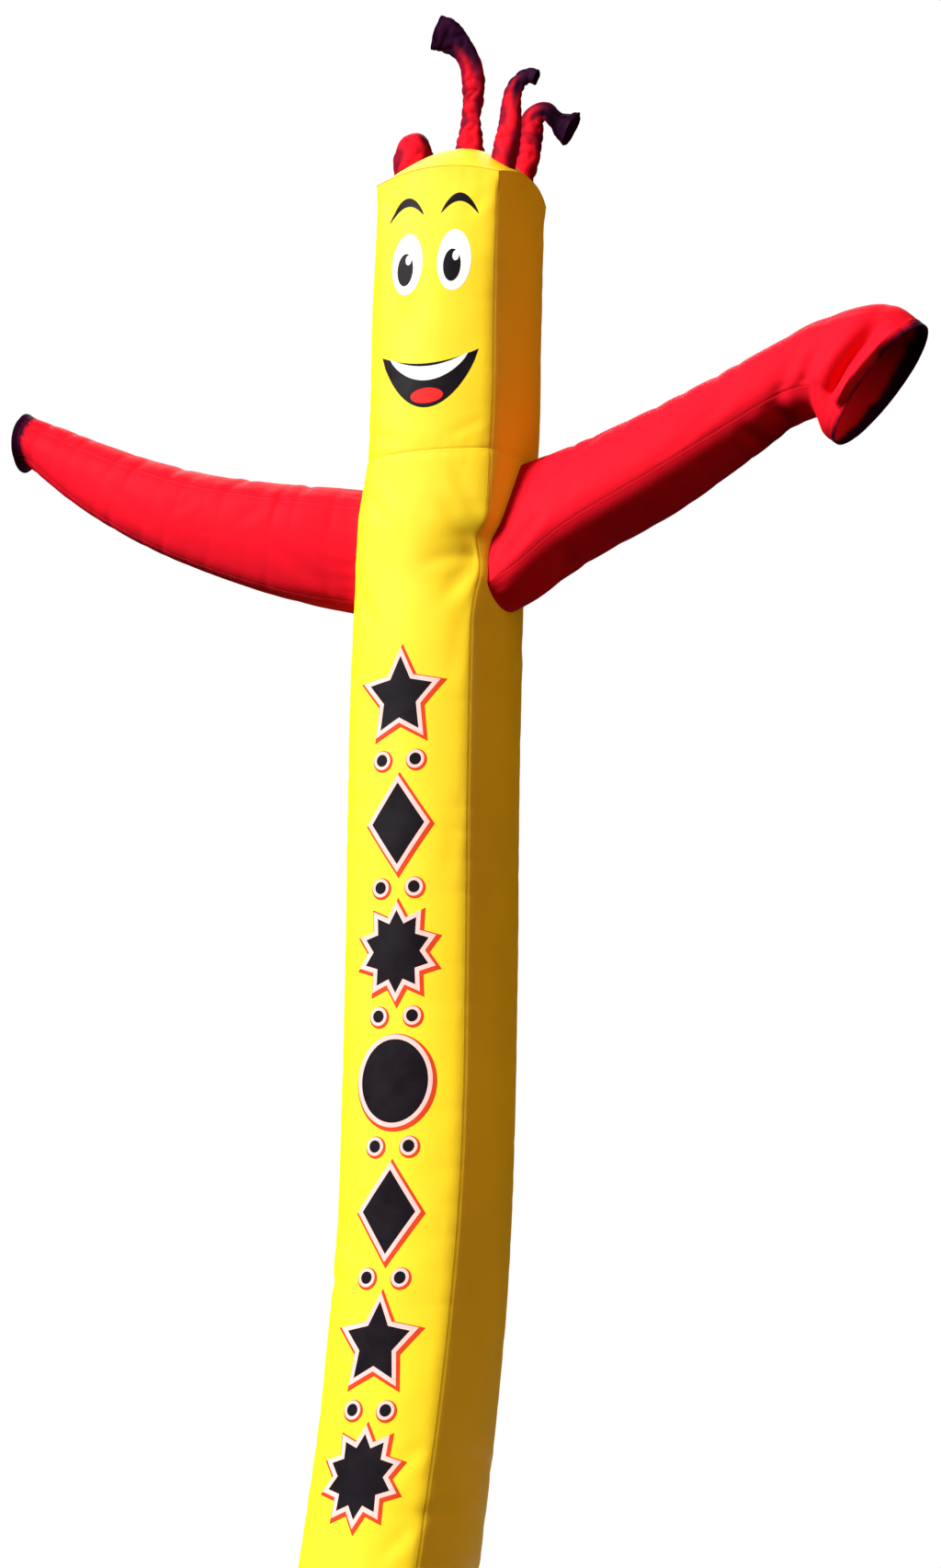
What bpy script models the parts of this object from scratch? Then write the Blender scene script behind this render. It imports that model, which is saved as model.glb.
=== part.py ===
"""Inflatable air dancer: a hollow nylon figure, sewn from panels and held up by the air blown through it.

Metres, +Z up. The figure stands on the hem of its open base, which is centred on the origin, and it faces -Y.
Its body and sleeves are square tubes of four panels each. The air bellies every panel out between its seams.
Neighbouring pieces keep a seam's gap to each other, and a panel's hem is part of its cloth.
"""

from collections import namedtuple
import math

import bmesh
import bpy
import numpy as np
from mathutils import Vector

CLOTH = 0.002  # thickness of a panel
SEAM_GAP = 0.0003  # between pieces that are sewn together

# The four faces of a square tube, as the outward normal on its section's own (across, deep) axes.
FACES = {"front": (0, -1), "right": (1, 0), "back": (0, 1), "left": (-1, 0)}

# Body and head: the line of the section centres and the seams' distance from it, from the hem to the top seam.
Level = namedtuple("Level", "height centre_x half_wide half_deep twist_deg")
FIGURE = (
    Level(0.00, 0.000, 0.221, 0.221, -4.0),
    Level(0.25, -0.012, 0.221, 0.221, -4.6),
    Level(0.50, -0.022, 0.222, 0.222, -5.0),
    Level(0.75, -0.012, 0.222, 0.222, -5.0),
    Level(1.00, 0.022, 0.220, 0.220, -4.8),
    Level(1.30, 0.063, 0.218, 0.219, -3.8),
    Level(1.60, 0.094, 0.219, 0.220, -2.6),
    Level(1.90, 0.118, 0.218, 0.219, -1.4),
    Level(2.30, 0.133, 0.220, 0.220, -0.3),
    Level(2.80, 0.144, 0.219, 0.220, -0.6),
    Level(3.40, 0.151, 0.219, 0.220, -0.8),
    Level(3.70, 0.158, 0.219, 0.220, -1.0),
    Level(3.92, 0.165, 0.217, 0.219, -1.0),
    Level(4.02, 0.170, 0.216, 0.219, -0.8),
    Level(4.12, 0.175, 0.219, 0.219, -0.4),
    Level(4.20, 0.186, 0.226, 0.220, 0.0),
    Level(4.28, 0.198, 0.232, 0.221, 0.3),
    Level(4.38, 0.211, 0.228, 0.221, 0.6),
    Level(4.48, 0.219, 0.222, 0.219, 0.8),
    Level(4.60, 0.225, 0.223, 0.221, 0.9),
    Level(4.95, 0.233, 0.222, 0.221, 0.6),
    Level(5.20, 0.242, 0.222, 0.221, 0.2),
    Level(5.40, 0.250, 0.222, 0.221, 0.0),
)
NECK = 4.46  # height of the seam between body and head
TOP_SEAM = FIGURE[-1].height  # height of the head's four upper corners
BELLY = 0.046  # how far the middle of a body panel stands out from the line between its seams

# The crease where the body gives way under the raised right sleeve, at its front right seam.
CREASE_HEIGHT = 4.165
CREASE_DEPTH = 0.045
CREASE_ABOVE = 0.040
CREASE_BELOW = 0.120

# The puffed end of the head.
PUFF_START = 4.95  # from here up the panels' middles rise and their bellies flatten
TOP_BELLY = 0.024
TOP_ARCH = 0.035  # rise of a head panel's upper edge between its corners
TOP_DOME = 0.085  # further rise of the top panel's middle

# Sleeves: the upper and lower edge of the sleeve's side view at each section, from inside the body to the mouth.
# deep is the depth from front to back over the height, belly is over the section's half size, roll turns the
# section about the sleeve, and turn swings its back side out of the sleeve's plane, towards +X.
Cuff = namedtuple("Cuff", "top_x top_z low_x low_z deep roll_deg turn_deg belly")
RIGHT_SLEEVE = (
    Cuff(0.300, 4.385, 0.235, 3.910, 0.50, 14.0, 0.0, 0.26),
    Cuff(0.425, 4.436, 0.370, 3.928, 0.52, 15.0, 0.0, 0.26),
    Cuff(0.545, 4.474, 0.500, 3.974, 0.62, 17.0, 0.0, 0.26),
    Cuff(0.665, 4.502, 0.690, 4.092, 0.80, 21.0, 0.0, 0.26),
    Cuff(0.900, 4.576, 0.995, 4.240, 0.94, 23.0, 0.0, 0.24),
    Cuff(1.140, 4.670, 1.235, 4.385, 0.97, 22.0, 0.0, 0.24),
    Cuff(1.318, 4.746, 1.390, 4.482, 0.97, 20.0, 0.0, 0.26),
    Cuff(1.470, 4.815, 1.482, 4.520, 0.84, 17.0, 0.0, 0.30),
    Cuff(1.612, 4.858, 1.506, 4.500, 0.72, 14.0, 0.0, 0.32),
    Cuff(1.752, 4.864, 1.524, 4.450, 0.64, 11.0, 0.0, 0.34),
    Cuff(1.856, 4.786, 1.566, 4.414, 0.62, 9.0, 2.0, 0.36),
)
LEFT_SLEEVE = (
    Cuff(0.090, 4.370, 0.090, 3.950, 0.86, -12.0, 0.0, 0.30),
    Cuff(-0.050, 4.392, -0.045, 3.972, 0.86, -12.0, 0.0, 0.30),
    Cuff(-0.160, 4.412, -0.162, 3.995, 0.88, -12.0, 0.0, 0.28),
    Cuff(-0.290, 4.432, -0.324, 4.038, 0.94, -12.0, 0.0, 0.25),
    Cuff(-0.450, 4.460, -0.533, 4.110, 0.98, -12.0, 0.0, 0.24),
    Cuff(-0.690, 4.512, -0.815, 4.226, 1.00, -11.0, 0.0, 0.24),
    Cuff(-0.940, 4.594, -1.056, 4.352, 1.00, -9.0, 0.0, 0.26),
    Cuff(-1.130, 4.672, -1.236, 4.472, 1.00, -7.0, 0.0, 0.30),
    Cuff(-1.280, 4.740, -1.350, 4.562, 1.00, -4.0, 0.0, 0.36),
    Cuff(-1.378, 4.781, -1.404, 4.602, 1.00, -2.0, 0.0, 0.41),
    Cuff(-1.411, 4.801, -1.436, 4.592, 0.98, 0.0, 0.0, 0.41),
)
# The four panels of a sleeve, by the face of its section that each one covers.
SLEEVE_PANELS = {"front": "front", "right": "top", "back": "back", "left": "underside"}
SLEEVE_STEPS = 2  # sections made for each row of the tables above
HOLE_ROWS = 3  # rows of a sleeve's table that the hole in the side panel is cut along

# Hair tubes: the middle of each section with its half sizes, from inside the head to the open end.
Lock = namedtuple("Lock", "x y z half_wide half_thick")
HAIR = {
    "hair_left": (
        Lock(0.070, 0.010, 5.440, 0.060, 0.046),
        Lock(0.064, 0.006, 5.515, 0.067, 0.050),
        Lock(0.060, 0.004, 5.572, 0.065, 0.046),
        Lock(0.058, 0.022, 5.624, 0.049, 0.034),
        Lock(0.058, 0.064, 5.638, 0.039, 0.027),
        Lock(0.060, 0.108, 5.608, 0.038, 0.024),
        Lock(0.056, 0.142, 5.560, 0.044, 0.028),
    ),
    "hair_middle": (
        Lock(0.276, 0.000, 5.470, 0.056, 0.040),
        Lock(0.277, 0.000, 5.560, 0.054, 0.038),
        Lock(0.281, 0.000, 5.625, 0.044, 0.028),
        Lock(0.284, -0.004, 5.677, 0.036, 0.018),
        Lock(0.293, -0.008, 5.735, 0.040, 0.024),
        Lock(0.296, -0.012, 5.800, 0.043, 0.028),
        Lock(0.288, -0.016, 5.862, 0.040, 0.025),
        Lock(0.265, -0.022, 5.912, 0.041, 0.022),
        Lock(0.231, -0.030, 5.951, 0.054, 0.026),
        Lock(0.202, -0.036, 5.974, 0.062, 0.032),
        Lock(0.172, -0.040, 5.985, 0.062, 0.034),
    ),
    "hair_right_front": (
        Lock(0.425, -0.090, 5.370, 0.038, 0.038),
        Lock(0.436, -0.090, 5.470, 0.044, 0.040),
        Lock(0.449, -0.088, 5.540, 0.047, 0.036),
        Lock(0.459, -0.085, 5.610, 0.042, 0.028),
        Lock(0.462, -0.082, 5.675, 0.037, 0.022),
        Lock(0.470, -0.080, 5.724, 0.034, 0.020),
        Lock(0.494, -0.080, 5.758, 0.030, 0.018),
        Lock(0.526, -0.082, 5.771, 0.027, 0.018),
        Lock(0.555, -0.084, 5.760, 0.028, 0.020),
    ),
    "hair_right_back": (
        Lock(0.430, 0.075, 5.360, 0.030, 0.034),
        Lock(0.443, 0.072, 5.450, 0.035, 0.036),
        Lock(0.466, 0.066, 5.535, 0.045, 0.034),
        Lock(0.474, 0.060, 5.606, 0.049, 0.030),
        Lock(0.490, 0.055, 5.668, 0.042, 0.024),
        Lock(0.534, 0.052, 5.686, 0.034, 0.018),
        Lock(0.572, 0.050, 5.652, 0.031, 0.020),
        Lock(0.602, 0.050, 5.626, 0.050, 0.028),
        Lock(0.630, 0.050, 5.610, 0.064, 0.036),
    ),
}
FOLDED_BACK = ("hair_left",)  # bends about the X axis; the others bend about the Y axis
HAIR_STEPS = 2
HAIR_SIDES = 10
HAIR_HOLE_ROWS = 2

# Mesh steps: columns across a panel, and the distance between its rows.
PANEL_COLUMNS = 6
SLEEVE_COLUMNS = 4
TOP_COLUMNS = PANEL_COLUMNS
BODY_STEP = 0.150
SHOULDER_STEP = 0.055
SHOULDER_START = 3.75
HEAD_STEP = 0.100

YELLOW = (0.94, 0.68, 0.015)
RED = (0.80, 0.008, 0.022)


def clear_scene():
    for thing in list(bpy.data.objects):
        bpy.data.objects.remove(thing, do_unlink=True)


def cloth_material(name, colour):
    material = bpy.data.materials.new(name)
    material.use_nodes = True
    shader = material.node_tree.nodes["Principled BSDF"]
    shader.inputs["Base Color"].default_value = (*colour, 1.0)
    shader.inputs["Roughness"].default_value = 0.55
    shader.inputs["Metallic"].default_value = 0.0
    return material


def between(table, at, keys=None):
    """The table's row at this place along it, on a smooth curve through its rows."""
    values = np.array(table, float)
    keys = np.arange(len(values)) if keys is None else np.array(keys)
    slopes = np.gradient(values, keys, axis=0)
    i = int(np.clip(np.searchsorted(keys, at) - 1, 0, len(keys) - 2))
    span = keys[i + 1] - keys[i]
    t = (at - keys[i]) / span
    row = (
        (1 + 2 * t) * (1 - t) ** 2 * values[i]
        + t * (1 - t) ** 2 * span * slopes[i]
        + t**2 * (3 - 2 * t) * values[i + 1]
        + t**2 * (t - 1) * span * slopes[i + 1]
    )
    return type(table[0])(*row)


def ease(low, high, at):
    """0 below low, 1 above high, and a smooth step between."""
    t = min(max((at - low) / (high - low), 0.0), 1.0)
    return t * t * (3 - 2 * t)


def heights(start, end, step):
    return list(np.linspace(start, end, max(1, round((end - start) / step)) + 1))


def square_outline(face, u, half, belly, inset, gap):
    """A point of a bellied square on its own two axes: u runs from -1 to 1 along the named face."""
    normal = np.array(FACES[face], float)
    along = np.array((-normal[1], normal[0]))
    half_out = abs(normal @ half)
    half_along = abs(along @ half)
    out = half_out - inset + abs(normal @ belly) * (1 - u * u)
    return normal * out + along * u * (half_along - inset - gap)


# Body and head


def crease_shift(height, face, u):
    """How far the crease under the right sleeve moves this point towards -X."""
    reach = {"front": (1 + u) / 2, "right": (1 - u) / 2}.get(face, 0.0)
    spread = CREASE_ABOVE if height > CREASE_HEIGHT else CREASE_BELOW
    return CREASE_DEPTH * reach**6 * math.exp(-(((height - CREASE_HEIGHT) / spread) ** 2))


def figure_point(height, face, u, inset=0.0, gap=SEAM_GAP):
    level = between(FIGURE, height, [row.height for row in FIGURE])
    puff = ease(PUFF_START, TOP_SEAM, height)
    belly = BELLY + (TOP_BELLY - BELLY) * puff
    flat = square_outline(
        face, u, (level.half_wide, level.half_deep), (belly, belly), inset, gap
    )
    turn = math.radians(level.twist_deg)
    return Vector(
        (
            level.centre_x
            + flat[0] * math.cos(turn)
            - flat[1] * math.sin(turn)
            - crease_shift(height, face, u),
            flat[0] * math.sin(turn) + flat[1] * math.cos(turn),
            height + TOP_ARCH * puff * (1 - u * u),
        )
    )


def top_point(u, v, lift=SEAM_GAP):
    """A point of the top panel's underside, over the head's section: u and v run from -1 to 1."""
    top = FIGURE[-1]
    rise = TOP_ARCH * ((1 - u * u) + (1 - v * v)) + TOP_DOME * (1 - u * u) * (1 - v * v)
    return Vector(
        (
            top.centre_x + u * (top.half_wide + TOP_BELLY * (1 - v * v)),
            v * (top.half_deep + TOP_BELLY * (1 - u * u)),
            TOP_SEAM + rise + lift,
        )
    )


def top_normal(u, v):
    step = 0.001
    along_u = top_point(u + step, v) - top_point(u - step, v)
    along_v = top_point(u, v + step) - top_point(u, v - step)
    return along_u.cross(along_v).normalized()


# Sleeves and hair


def sleeve_point(table, row, face, u, inset=0.0, gap=SEAM_GAP):
    """A point of a sleeve's section at this row of its table. Its own axes run up and to the back."""
    cuff = between(table, row)
    top = Vector((cuff.top_x, 0.0, cuff.top_z))
    low = Vector((cuff.low_x, 0.0, cuff.low_z))
    up = (top - low).normalized()
    turn = math.radians(cuff.turn_deg)
    back = Vector((math.sin(turn), math.cos(turn), 0.0))
    back = (back - up * back.dot(up)).normalized()
    roll = math.radians(cuff.roll_deg)
    across = up * math.cos(roll) + back * math.sin(roll)
    deep = back * math.cos(roll) - up * math.sin(roll)
    # A rolled square stands its corners up, so its half size is worked out from the height that it must fill.
    corner = math.cos(roll) + abs(math.sin(roll))
    middle = (1 + cuff.belly) * math.cos(roll)
    half = (top - low).length / 2 / max(corner, middle)
    halves = (half, half * cuff.deep)
    bellies = (half * cuff.belly, half * cuff.belly * cuff.deep)
    flat = square_outline(face, u, halves, bellies, inset, gap)
    return (top + low) / 2 + across * flat[0] + deep * flat[1]


def hair_point(name, row, angle, inset=0.0):
    """A point of a hair tube's oval section, on its own wide and thick axes."""
    table = HAIR[name]
    lock = between(table, row)
    step = 0.01
    ahead = between(table, min(row + step, len(table) - 1))
    behind = between(table, max(row - step, 0))
    along = Vector((ahead.x - behind.x, ahead.y - behind.y, ahead.z - behind.z)).normalized()
    if name in FOLDED_BACK:
        wide = Vector((1.0, 0.0, 0.0))
        wide = (wide - along * wide.dot(along)).normalized()
    else:
        wide = Vector((0.0, 1.0, 0.0)).cross(along).normalized()
    thick = along.cross(wide)
    return (
        Vector((lock.x, lock.y, lock.z))
        + wide * math.cos(angle) * (lock.half_wide - inset)
        + thick * math.sin(angle) * (lock.half_thick - inset)
    )


# Meshes


def add_object(name, mesh, material=None):
    """Turns the bmesh into an object, with all its faces pointing out."""
    bmesh.ops.recalc_face_normals(mesh, faces=mesh.faces)
    data = bpy.data.meshes.new(name)
    mesh.to_mesh(data)
    mesh.free()
    data.shade_smooth()
    data.set_sharp_from_angle(angle=math.radians(50))
    thing = bpy.data.objects.new(name, data)
    bpy.context.scene.collection.objects.link(thing)
    if material:
        data.materials.append(material)
    return thing


def two_triangles(mesh, a, b, c, d):
    mesh.faces.new((a, b, c))
    mesh.faces.new((a, c, d))


def add_sheet(name, material, skins, closed=False):
    """A sheet between two skins, each a grid of points. A closed sheet is a tube: its columns run right round."""
    mesh = bmesh.new()
    outer, inner = (
        [[mesh.verts.new(point) for point in row] for row in skin] for skin in skins
    )
    rows = len(outer)
    columns = len(outer[0])
    steps = columns if closed else columns - 1
    for i in range(rows - 1):
        for j in range(steps):
            k = (j + 1) % columns
            for skin in (outer, inner):
                two_triangles(mesh, skin[i][j], skin[i + 1][j], skin[i + 1][k], skin[i][k])
    for i in (0, rows - 1):
        for j in range(steps):
            k = (j + 1) % columns
            two_triangles(mesh, outer[i][j], outer[i][k], inner[i][k], inner[i][j])
    for j in () if closed else (0, columns - 1):
        for i in range(rows - 1):
            two_triangles(mesh, outer[i][j], outer[i + 1][j], inner[i + 1][j], inner[i][j])
    return add_object(name, mesh, material)


def add_form(name, rings):
    """A solid through these rings of points, closed by a flat end at each: a hidden cutter."""
    mesh = bmesh.new()
    loops = [[mesh.verts.new(point) for point in ring] for ring in rings]
    count = len(loops[0])
    for low, high in zip(loops, loops[1:]):
        for j in range(count):
            k = (j + 1) % count
            two_triangles(mesh, low[j], high[j], high[k], low[k])
    for loop in (loops[0], loops[-1]):
        mesh.faces.new(loop)
    form = add_object(name, mesh)
    form.hide_render = True
    form.display_type = "WIRE"
    return form


def cut(thing, form, name):
    modifier = thing.modifiers.new(name, "BOOLEAN")
    modifier.operation = "DIFFERENCE"
    modifier.solver = "EXACT"
    modifier.object = form


def across(columns):
    return np.linspace(-1, 1, columns + 1)


def full_ring(point, columns):
    """A ring of points right round the four faces, with no gap at the seams."""
    return [point(face, u) for face in FACES for u in across(columns)[:-1]]


# Pieces


def make_figure_panels(part, levels, material):
    return {
        face: add_sheet(
            f"{part}_{face}",
            material,
            [
                [[figure_point(h, face, u, inset) for u in across(PANEL_COLUMNS)] for h in levels]
                for inset in (0.0, CLOTH)
            ],
        )
        for face in FACES
    }


def make_top(material):
    spread = across(TOP_COLUMNS)
    under = [[top_point(u, v) for u in spread] for v in spread]
    upper = [[top_point(u, v) + top_normal(u, v) * CLOTH for u in spread] for v in spread]
    return add_sheet("head_top", material, (upper, under))


def make_body_form():
    """The body around the shoulders, a seam's gap bigger all round: what the sleeves are cut back from."""
    levels = heights(SHOULDER_START - 3 * SHOULDER_STEP, NECK + 3 * SHOULDER_STEP, SHOULDER_STEP)
    return add_form(
        "form_body",
        [
            full_ring(lambda face, u: figure_point(h, face, u, -SEAM_GAP, 0.0), PANEL_COLUMNS)
            for h in levels
        ],
    )


def make_sleeve(side, table, body_form, body_panel, material):
    last = (len(table) - 1) * SLEEVE_STEPS
    rows = [row / SLEEVE_STEPS for row in range(last + 1)]
    for face, name in SLEEVE_PANELS.items():
        panel = add_sheet(
            f"sleeve_{side}_{name}",
            material,
            [
                [[sleeve_point(table, row, face, u, inset) for u in across(SLEEVE_COLUMNS)] for row in rows]
                for inset in (0.0, CLOTH)
            ],
        )
        cut(panel, body_form, "Shoulder")
    hole = add_form(
        f"form_sleeve_{side}",
        [
            full_ring(lambda face, u: sleeve_point(table, row, face, u, CLOTH, 0.0), SLEEVE_COLUMNS)
            for row in rows
            if row <= HOLE_ROWS
        ],
    )
    cut(body_panel, hole, "Sleeve hole")


def make_head_form():
    """The puffed head, a seam's gap bigger than the top panel: what the hair is cut back from."""
    spread = across(TOP_COLUMNS)
    mesh = bmesh.new()
    grid = [
        [mesh.verts.new(top_point(u, v) + top_normal(u, v) * (CLOTH + SEAM_GAP)) for u in spread]
        for v in spread
    ]
    for i in range(TOP_COLUMNS):
        for j in range(TOP_COLUMNS):
            two_triangles(mesh, grid[i][j], grid[i + 1][j], grid[i + 1][j + 1], grid[i][j + 1])
    rim = (
        grid[0]
        + [row[-1] for row in grid[1:]]
        + grid[-1][-2::-1]
        + [row[0] for row in grid[-2:0:-1]]
    )
    floor = [mesh.verts.new((point.co.x, point.co.y, PUFF_START)) for point in rim]
    for j in range(len(rim)):
        k = (j + 1) % len(rim)
        two_triangles(mesh, rim[j], rim[k], floor[k], floor[j])
    mesh.faces.new(floor)
    form = add_object("form_head", mesh)
    form.hide_render = True
    form.display_type = "WIRE"
    return form


def make_hair(name, head_form, top_panel, material):
    angles = [2 * math.pi * side / HAIR_SIDES for side in range(HAIR_SIDES)]
    rows = [row / HAIR_STEPS for row in range((len(HAIR[name]) - 1) * HAIR_STEPS + 1)]
    tube = add_sheet(
        name,
        material,
        [
            [[hair_point(name, row, angle, inset) for angle in angles] for row in rows]
            for inset in (0.0, CLOTH)
        ],
        closed=True,
    )
    cut(tube, head_form, "Top of the head")
    hole = add_form(
        f"form_{name}",
        [
            [hair_point(name, row, angle, CLOTH) for angle in angles]
            for row in rows
            if row <= HAIR_HOLE_ROWS
        ],
    )
    cut(top_panel, hole, f"Air hole of {name}")


def main():
    clear_scene()
    yellow = cloth_material("yellow_nylon", YELLOW)
    red = cloth_material("red_nylon", RED)

    body_levels = heights(0.0, SHOULDER_START, BODY_STEP)[:-1]
    body_levels += heights(SHOULDER_START, NECK - SEAM_GAP / 2, SHOULDER_STEP)
    body = make_figure_panels("body", body_levels, yellow)
    make_figure_panels("head", heights(NECK + SEAM_GAP / 2, TOP_SEAM, HEAD_STEP), yellow)
    top = make_top(yellow)

    body_form = make_body_form()
    make_sleeve("right", RIGHT_SLEEVE, body_form, body["right"], red)
    make_sleeve("left", LEFT_SLEEVE, body_form, body["left"], red)

    head_form = make_head_form()
    for name in HAIR:
        make_hair(name, head_form, top, red)


main()
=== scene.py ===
"""Looks of an inflatable air dancer: the cloth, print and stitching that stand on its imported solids.

Metres, +Z up, in the part's own frame. The figure stands at the origin and faces -Y. Each panel of cloth is
sheet of two skins that follows its solid, with the puckers, soft folds and creases that blown air leaves in
nylon.
"""

from collections import namedtuple
from functools import cache
import math

import bmesh
import bpy
import numpy as np
from mathutils import Matrix, Vector
from mathutils.geometry import delaunay_2d_cdt


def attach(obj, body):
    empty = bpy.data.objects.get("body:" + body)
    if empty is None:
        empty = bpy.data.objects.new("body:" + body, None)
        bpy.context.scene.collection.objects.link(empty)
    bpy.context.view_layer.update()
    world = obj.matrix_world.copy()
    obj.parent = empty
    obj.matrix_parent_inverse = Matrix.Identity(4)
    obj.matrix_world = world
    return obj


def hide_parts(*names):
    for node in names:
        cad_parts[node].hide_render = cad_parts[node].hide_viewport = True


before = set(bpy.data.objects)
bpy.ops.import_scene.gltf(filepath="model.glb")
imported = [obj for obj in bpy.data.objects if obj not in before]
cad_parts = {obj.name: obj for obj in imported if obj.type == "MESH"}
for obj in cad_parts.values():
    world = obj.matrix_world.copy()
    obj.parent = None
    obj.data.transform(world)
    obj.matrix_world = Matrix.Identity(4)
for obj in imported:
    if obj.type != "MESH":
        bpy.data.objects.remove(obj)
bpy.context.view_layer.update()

bl_info = {
    "name": "Inflatable Air Dancer",
    "version": (1, 0, 0),
    "blender": (4, 5, 0),
    "location": "View3D > Sidebar > Air Dancer",
    "description": "Dresses the air dancer's solids in sewn, printed nylon",
    "category": "Object",
}

BODY = "root"

CLOTH = 0.002  # thickness of a panel
SEAM_GAP = 0.0003  # between pieces that are sewn together
HEM = 0.025  # depth of the hems at the base and at the open ends

# ----------------------------------
# The form of the figure: the same named sections as its solids.

# The four faces of a square tube, as the outward normal on its section's own (across, deep) axes. A tube's
# corners count round in the same order, each after the face of its own number.
FACES = {"front": (0, -1), "right": (1, 0), "back": (0, 1), "left": (-1, 0)}

# Body and head: the line of the section centres and the seams' distance from it, from hem to top seam.
Level = namedtuple("Level", "height centre_x half_wide half_deep twist_deg")
FIGURE = (
    Level(0.00, 0.000, 0.221, 0.221, -4.0),
    Level(0.25, -0.012, 0.221, 0.221, -4.6),
    Level(0.50, -0.022, 0.222, 0.222, -5.0),
    Level(0.75, -0.012, 0.222, 0.222, -5.0),
    Level(1.00, 0.022, 0.220, 0.220, -4.8),
    Level(1.30, 0.063, 0.218, 0.219, -3.8),
    Level(1.60, 0.094, 0.219, 0.220, -2.6),
    Level(1.90, 0.118, 0.218, 0.219, -1.4),
    Level(2.30, 0.133, 0.220, 0.220, -0.3),
    Level(2.80, 0.144, 0.219, 0.220, -0.6),
    Level(3.40, 0.151, 0.219, 0.220, -0.8),
    Level(3.70, 0.158, 0.219, 0.220, -1.0),
    Level(3.92, 0.165, 0.217, 0.219, -1.0),
    Level(4.02, 0.170, 0.216, 0.219, -0.8),
    Level(4.12, 0.175, 0.219, 0.219, -0.4),
    Level(4.20, 0.186, 0.226, 0.220, 0.0),
    Level(4.28, 0.198, 0.232, 0.221, 0.3),
    Level(4.38, 0.211, 0.228, 0.221, 0.6),
    Level(4.48, 0.219, 0.222, 0.219, 0.8),
    Level(4.60, 0.225, 0.223, 0.221, 0.9),
    Level(4.95, 0.233, 0.222, 0.221, 0.6),
    Level(5.20, 0.242, 0.222, 0.221, 0.2),
    Level(5.40, 0.250, 0.222, 0.221, 0.0),
)
NECK = 4.46  # height of the seam between body and head
TOP_SEAM = FIGURE[-1].height  # height of the head's four upper corners
BELLY = 0.046  # how far the middle of a body panel stands out from the line between its seams

# The crease where the body gives way under the raised right sleeve, at its front right seam.
CREASE_HEIGHT = 4.165
CREASE_DEPTH = 0.045
CREASE_ABOVE = 0.040  # how far it reaches up from its deepest place
CREASE_BELOW = 0.120  # and down
CREASE_SHARPNESS = 6

# The puffed end of the head.
PUFF_START = 4.95
TOP_BELLY = 0.024  # how far the middles of the top's four edges stand out
TOP_ARCH = 0.035  # and how far they stand up
TOP_DOME = 0.085  # how far the top's middle stands up besides

# Sleeves: the upper and lower edge of the sleeve's side view at each section, from inside the body to the
# mouth, its depth as a share of its height, how it rolls and turns, and its belly as a share of its half
# size.
Cuff = namedtuple("Cuff", "top_x top_z low_x low_z deep roll_deg turn_deg belly")
RIGHT_SLEEVE = (
    Cuff(0.300, 4.385, 0.235, 3.910, 0.50, 14.0, 0.0, 0.26),
    Cuff(0.425, 4.436, 0.370, 3.928, 0.52, 15.0, 0.0, 0.26),
    Cuff(0.545, 4.474, 0.500, 3.974, 0.62, 17.0, 0.0, 0.26),
    Cuff(0.665, 4.502, 0.690, 4.092, 0.80, 21.0, 0.0, 0.26),
    Cuff(0.900, 4.576, 0.995, 4.240, 0.94, 23.0, 0.0, 0.24),
    Cuff(1.140, 4.670, 1.235, 4.385, 0.97, 22.0, 0.0, 0.24),
    Cuff(1.318, 4.746, 1.390, 4.482, 0.97, 20.0, 0.0, 0.26),
    Cuff(1.470, 4.815, 1.482, 4.520, 0.84, 17.0, 0.0, 0.30),
    Cuff(1.612, 4.858, 1.506, 4.500, 0.72, 14.0, 0.0, 0.32),
    Cuff(1.752, 4.864, 1.524, 4.450, 0.64, 11.0, 0.0, 0.34),
    Cuff(1.856, 4.786, 1.566, 4.414, 0.62, 9.0, 2.0, 0.36),
)
LEFT_SLEEVE = (
    Cuff(0.090, 4.370, 0.090, 3.950, 0.86, -12.0, 0.0, 0.30),
    Cuff(-0.050, 4.392, -0.045, 3.972, 0.86, -12.0, 0.0, 0.30),
    Cuff(-0.160, 4.412, -0.162, 3.995, 0.88, -12.0, 0.0, 0.28),
    Cuff(-0.290, 4.432, -0.324, 4.038, 0.94, -12.0, 0.0, 0.25),
    Cuff(-0.450, 4.460, -0.533, 4.110, 0.98, -12.0, 0.0, 0.24),
    Cuff(-0.690, 4.512, -0.815, 4.226, 1.00, -11.0, 0.0, 0.24),
    Cuff(-0.940, 4.594, -1.056, 4.352, 1.00, -9.0, 0.0, 0.26),
    Cuff(-1.130, 4.672, -1.236, 4.472, 1.00, -7.0, 0.0, 0.30),
    Cuff(-1.280, 4.740, -1.350, 4.562, 1.00, -4.0, 0.0, 0.36),
    Cuff(-1.378, 4.781, -1.404, 4.602, 1.00, -2.0, 0.0, 0.41),
    Cuff(-1.411, 4.801, -1.436, 4.592, 0.98, 0.0, 0.0, 0.41),
)
SLEEVES = {"right": RIGHT_SLEEVE, "left": LEFT_SLEEVE}
# What each panel of a sleeve is called, by the face of its tube.
SLEEVE_PANELS = {"front": "front", "right": "top", "back": "back", "left": "underside"}
HOLE_ROWS = 3  # a sleeve's seam with the body lies before this row of its table

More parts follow.
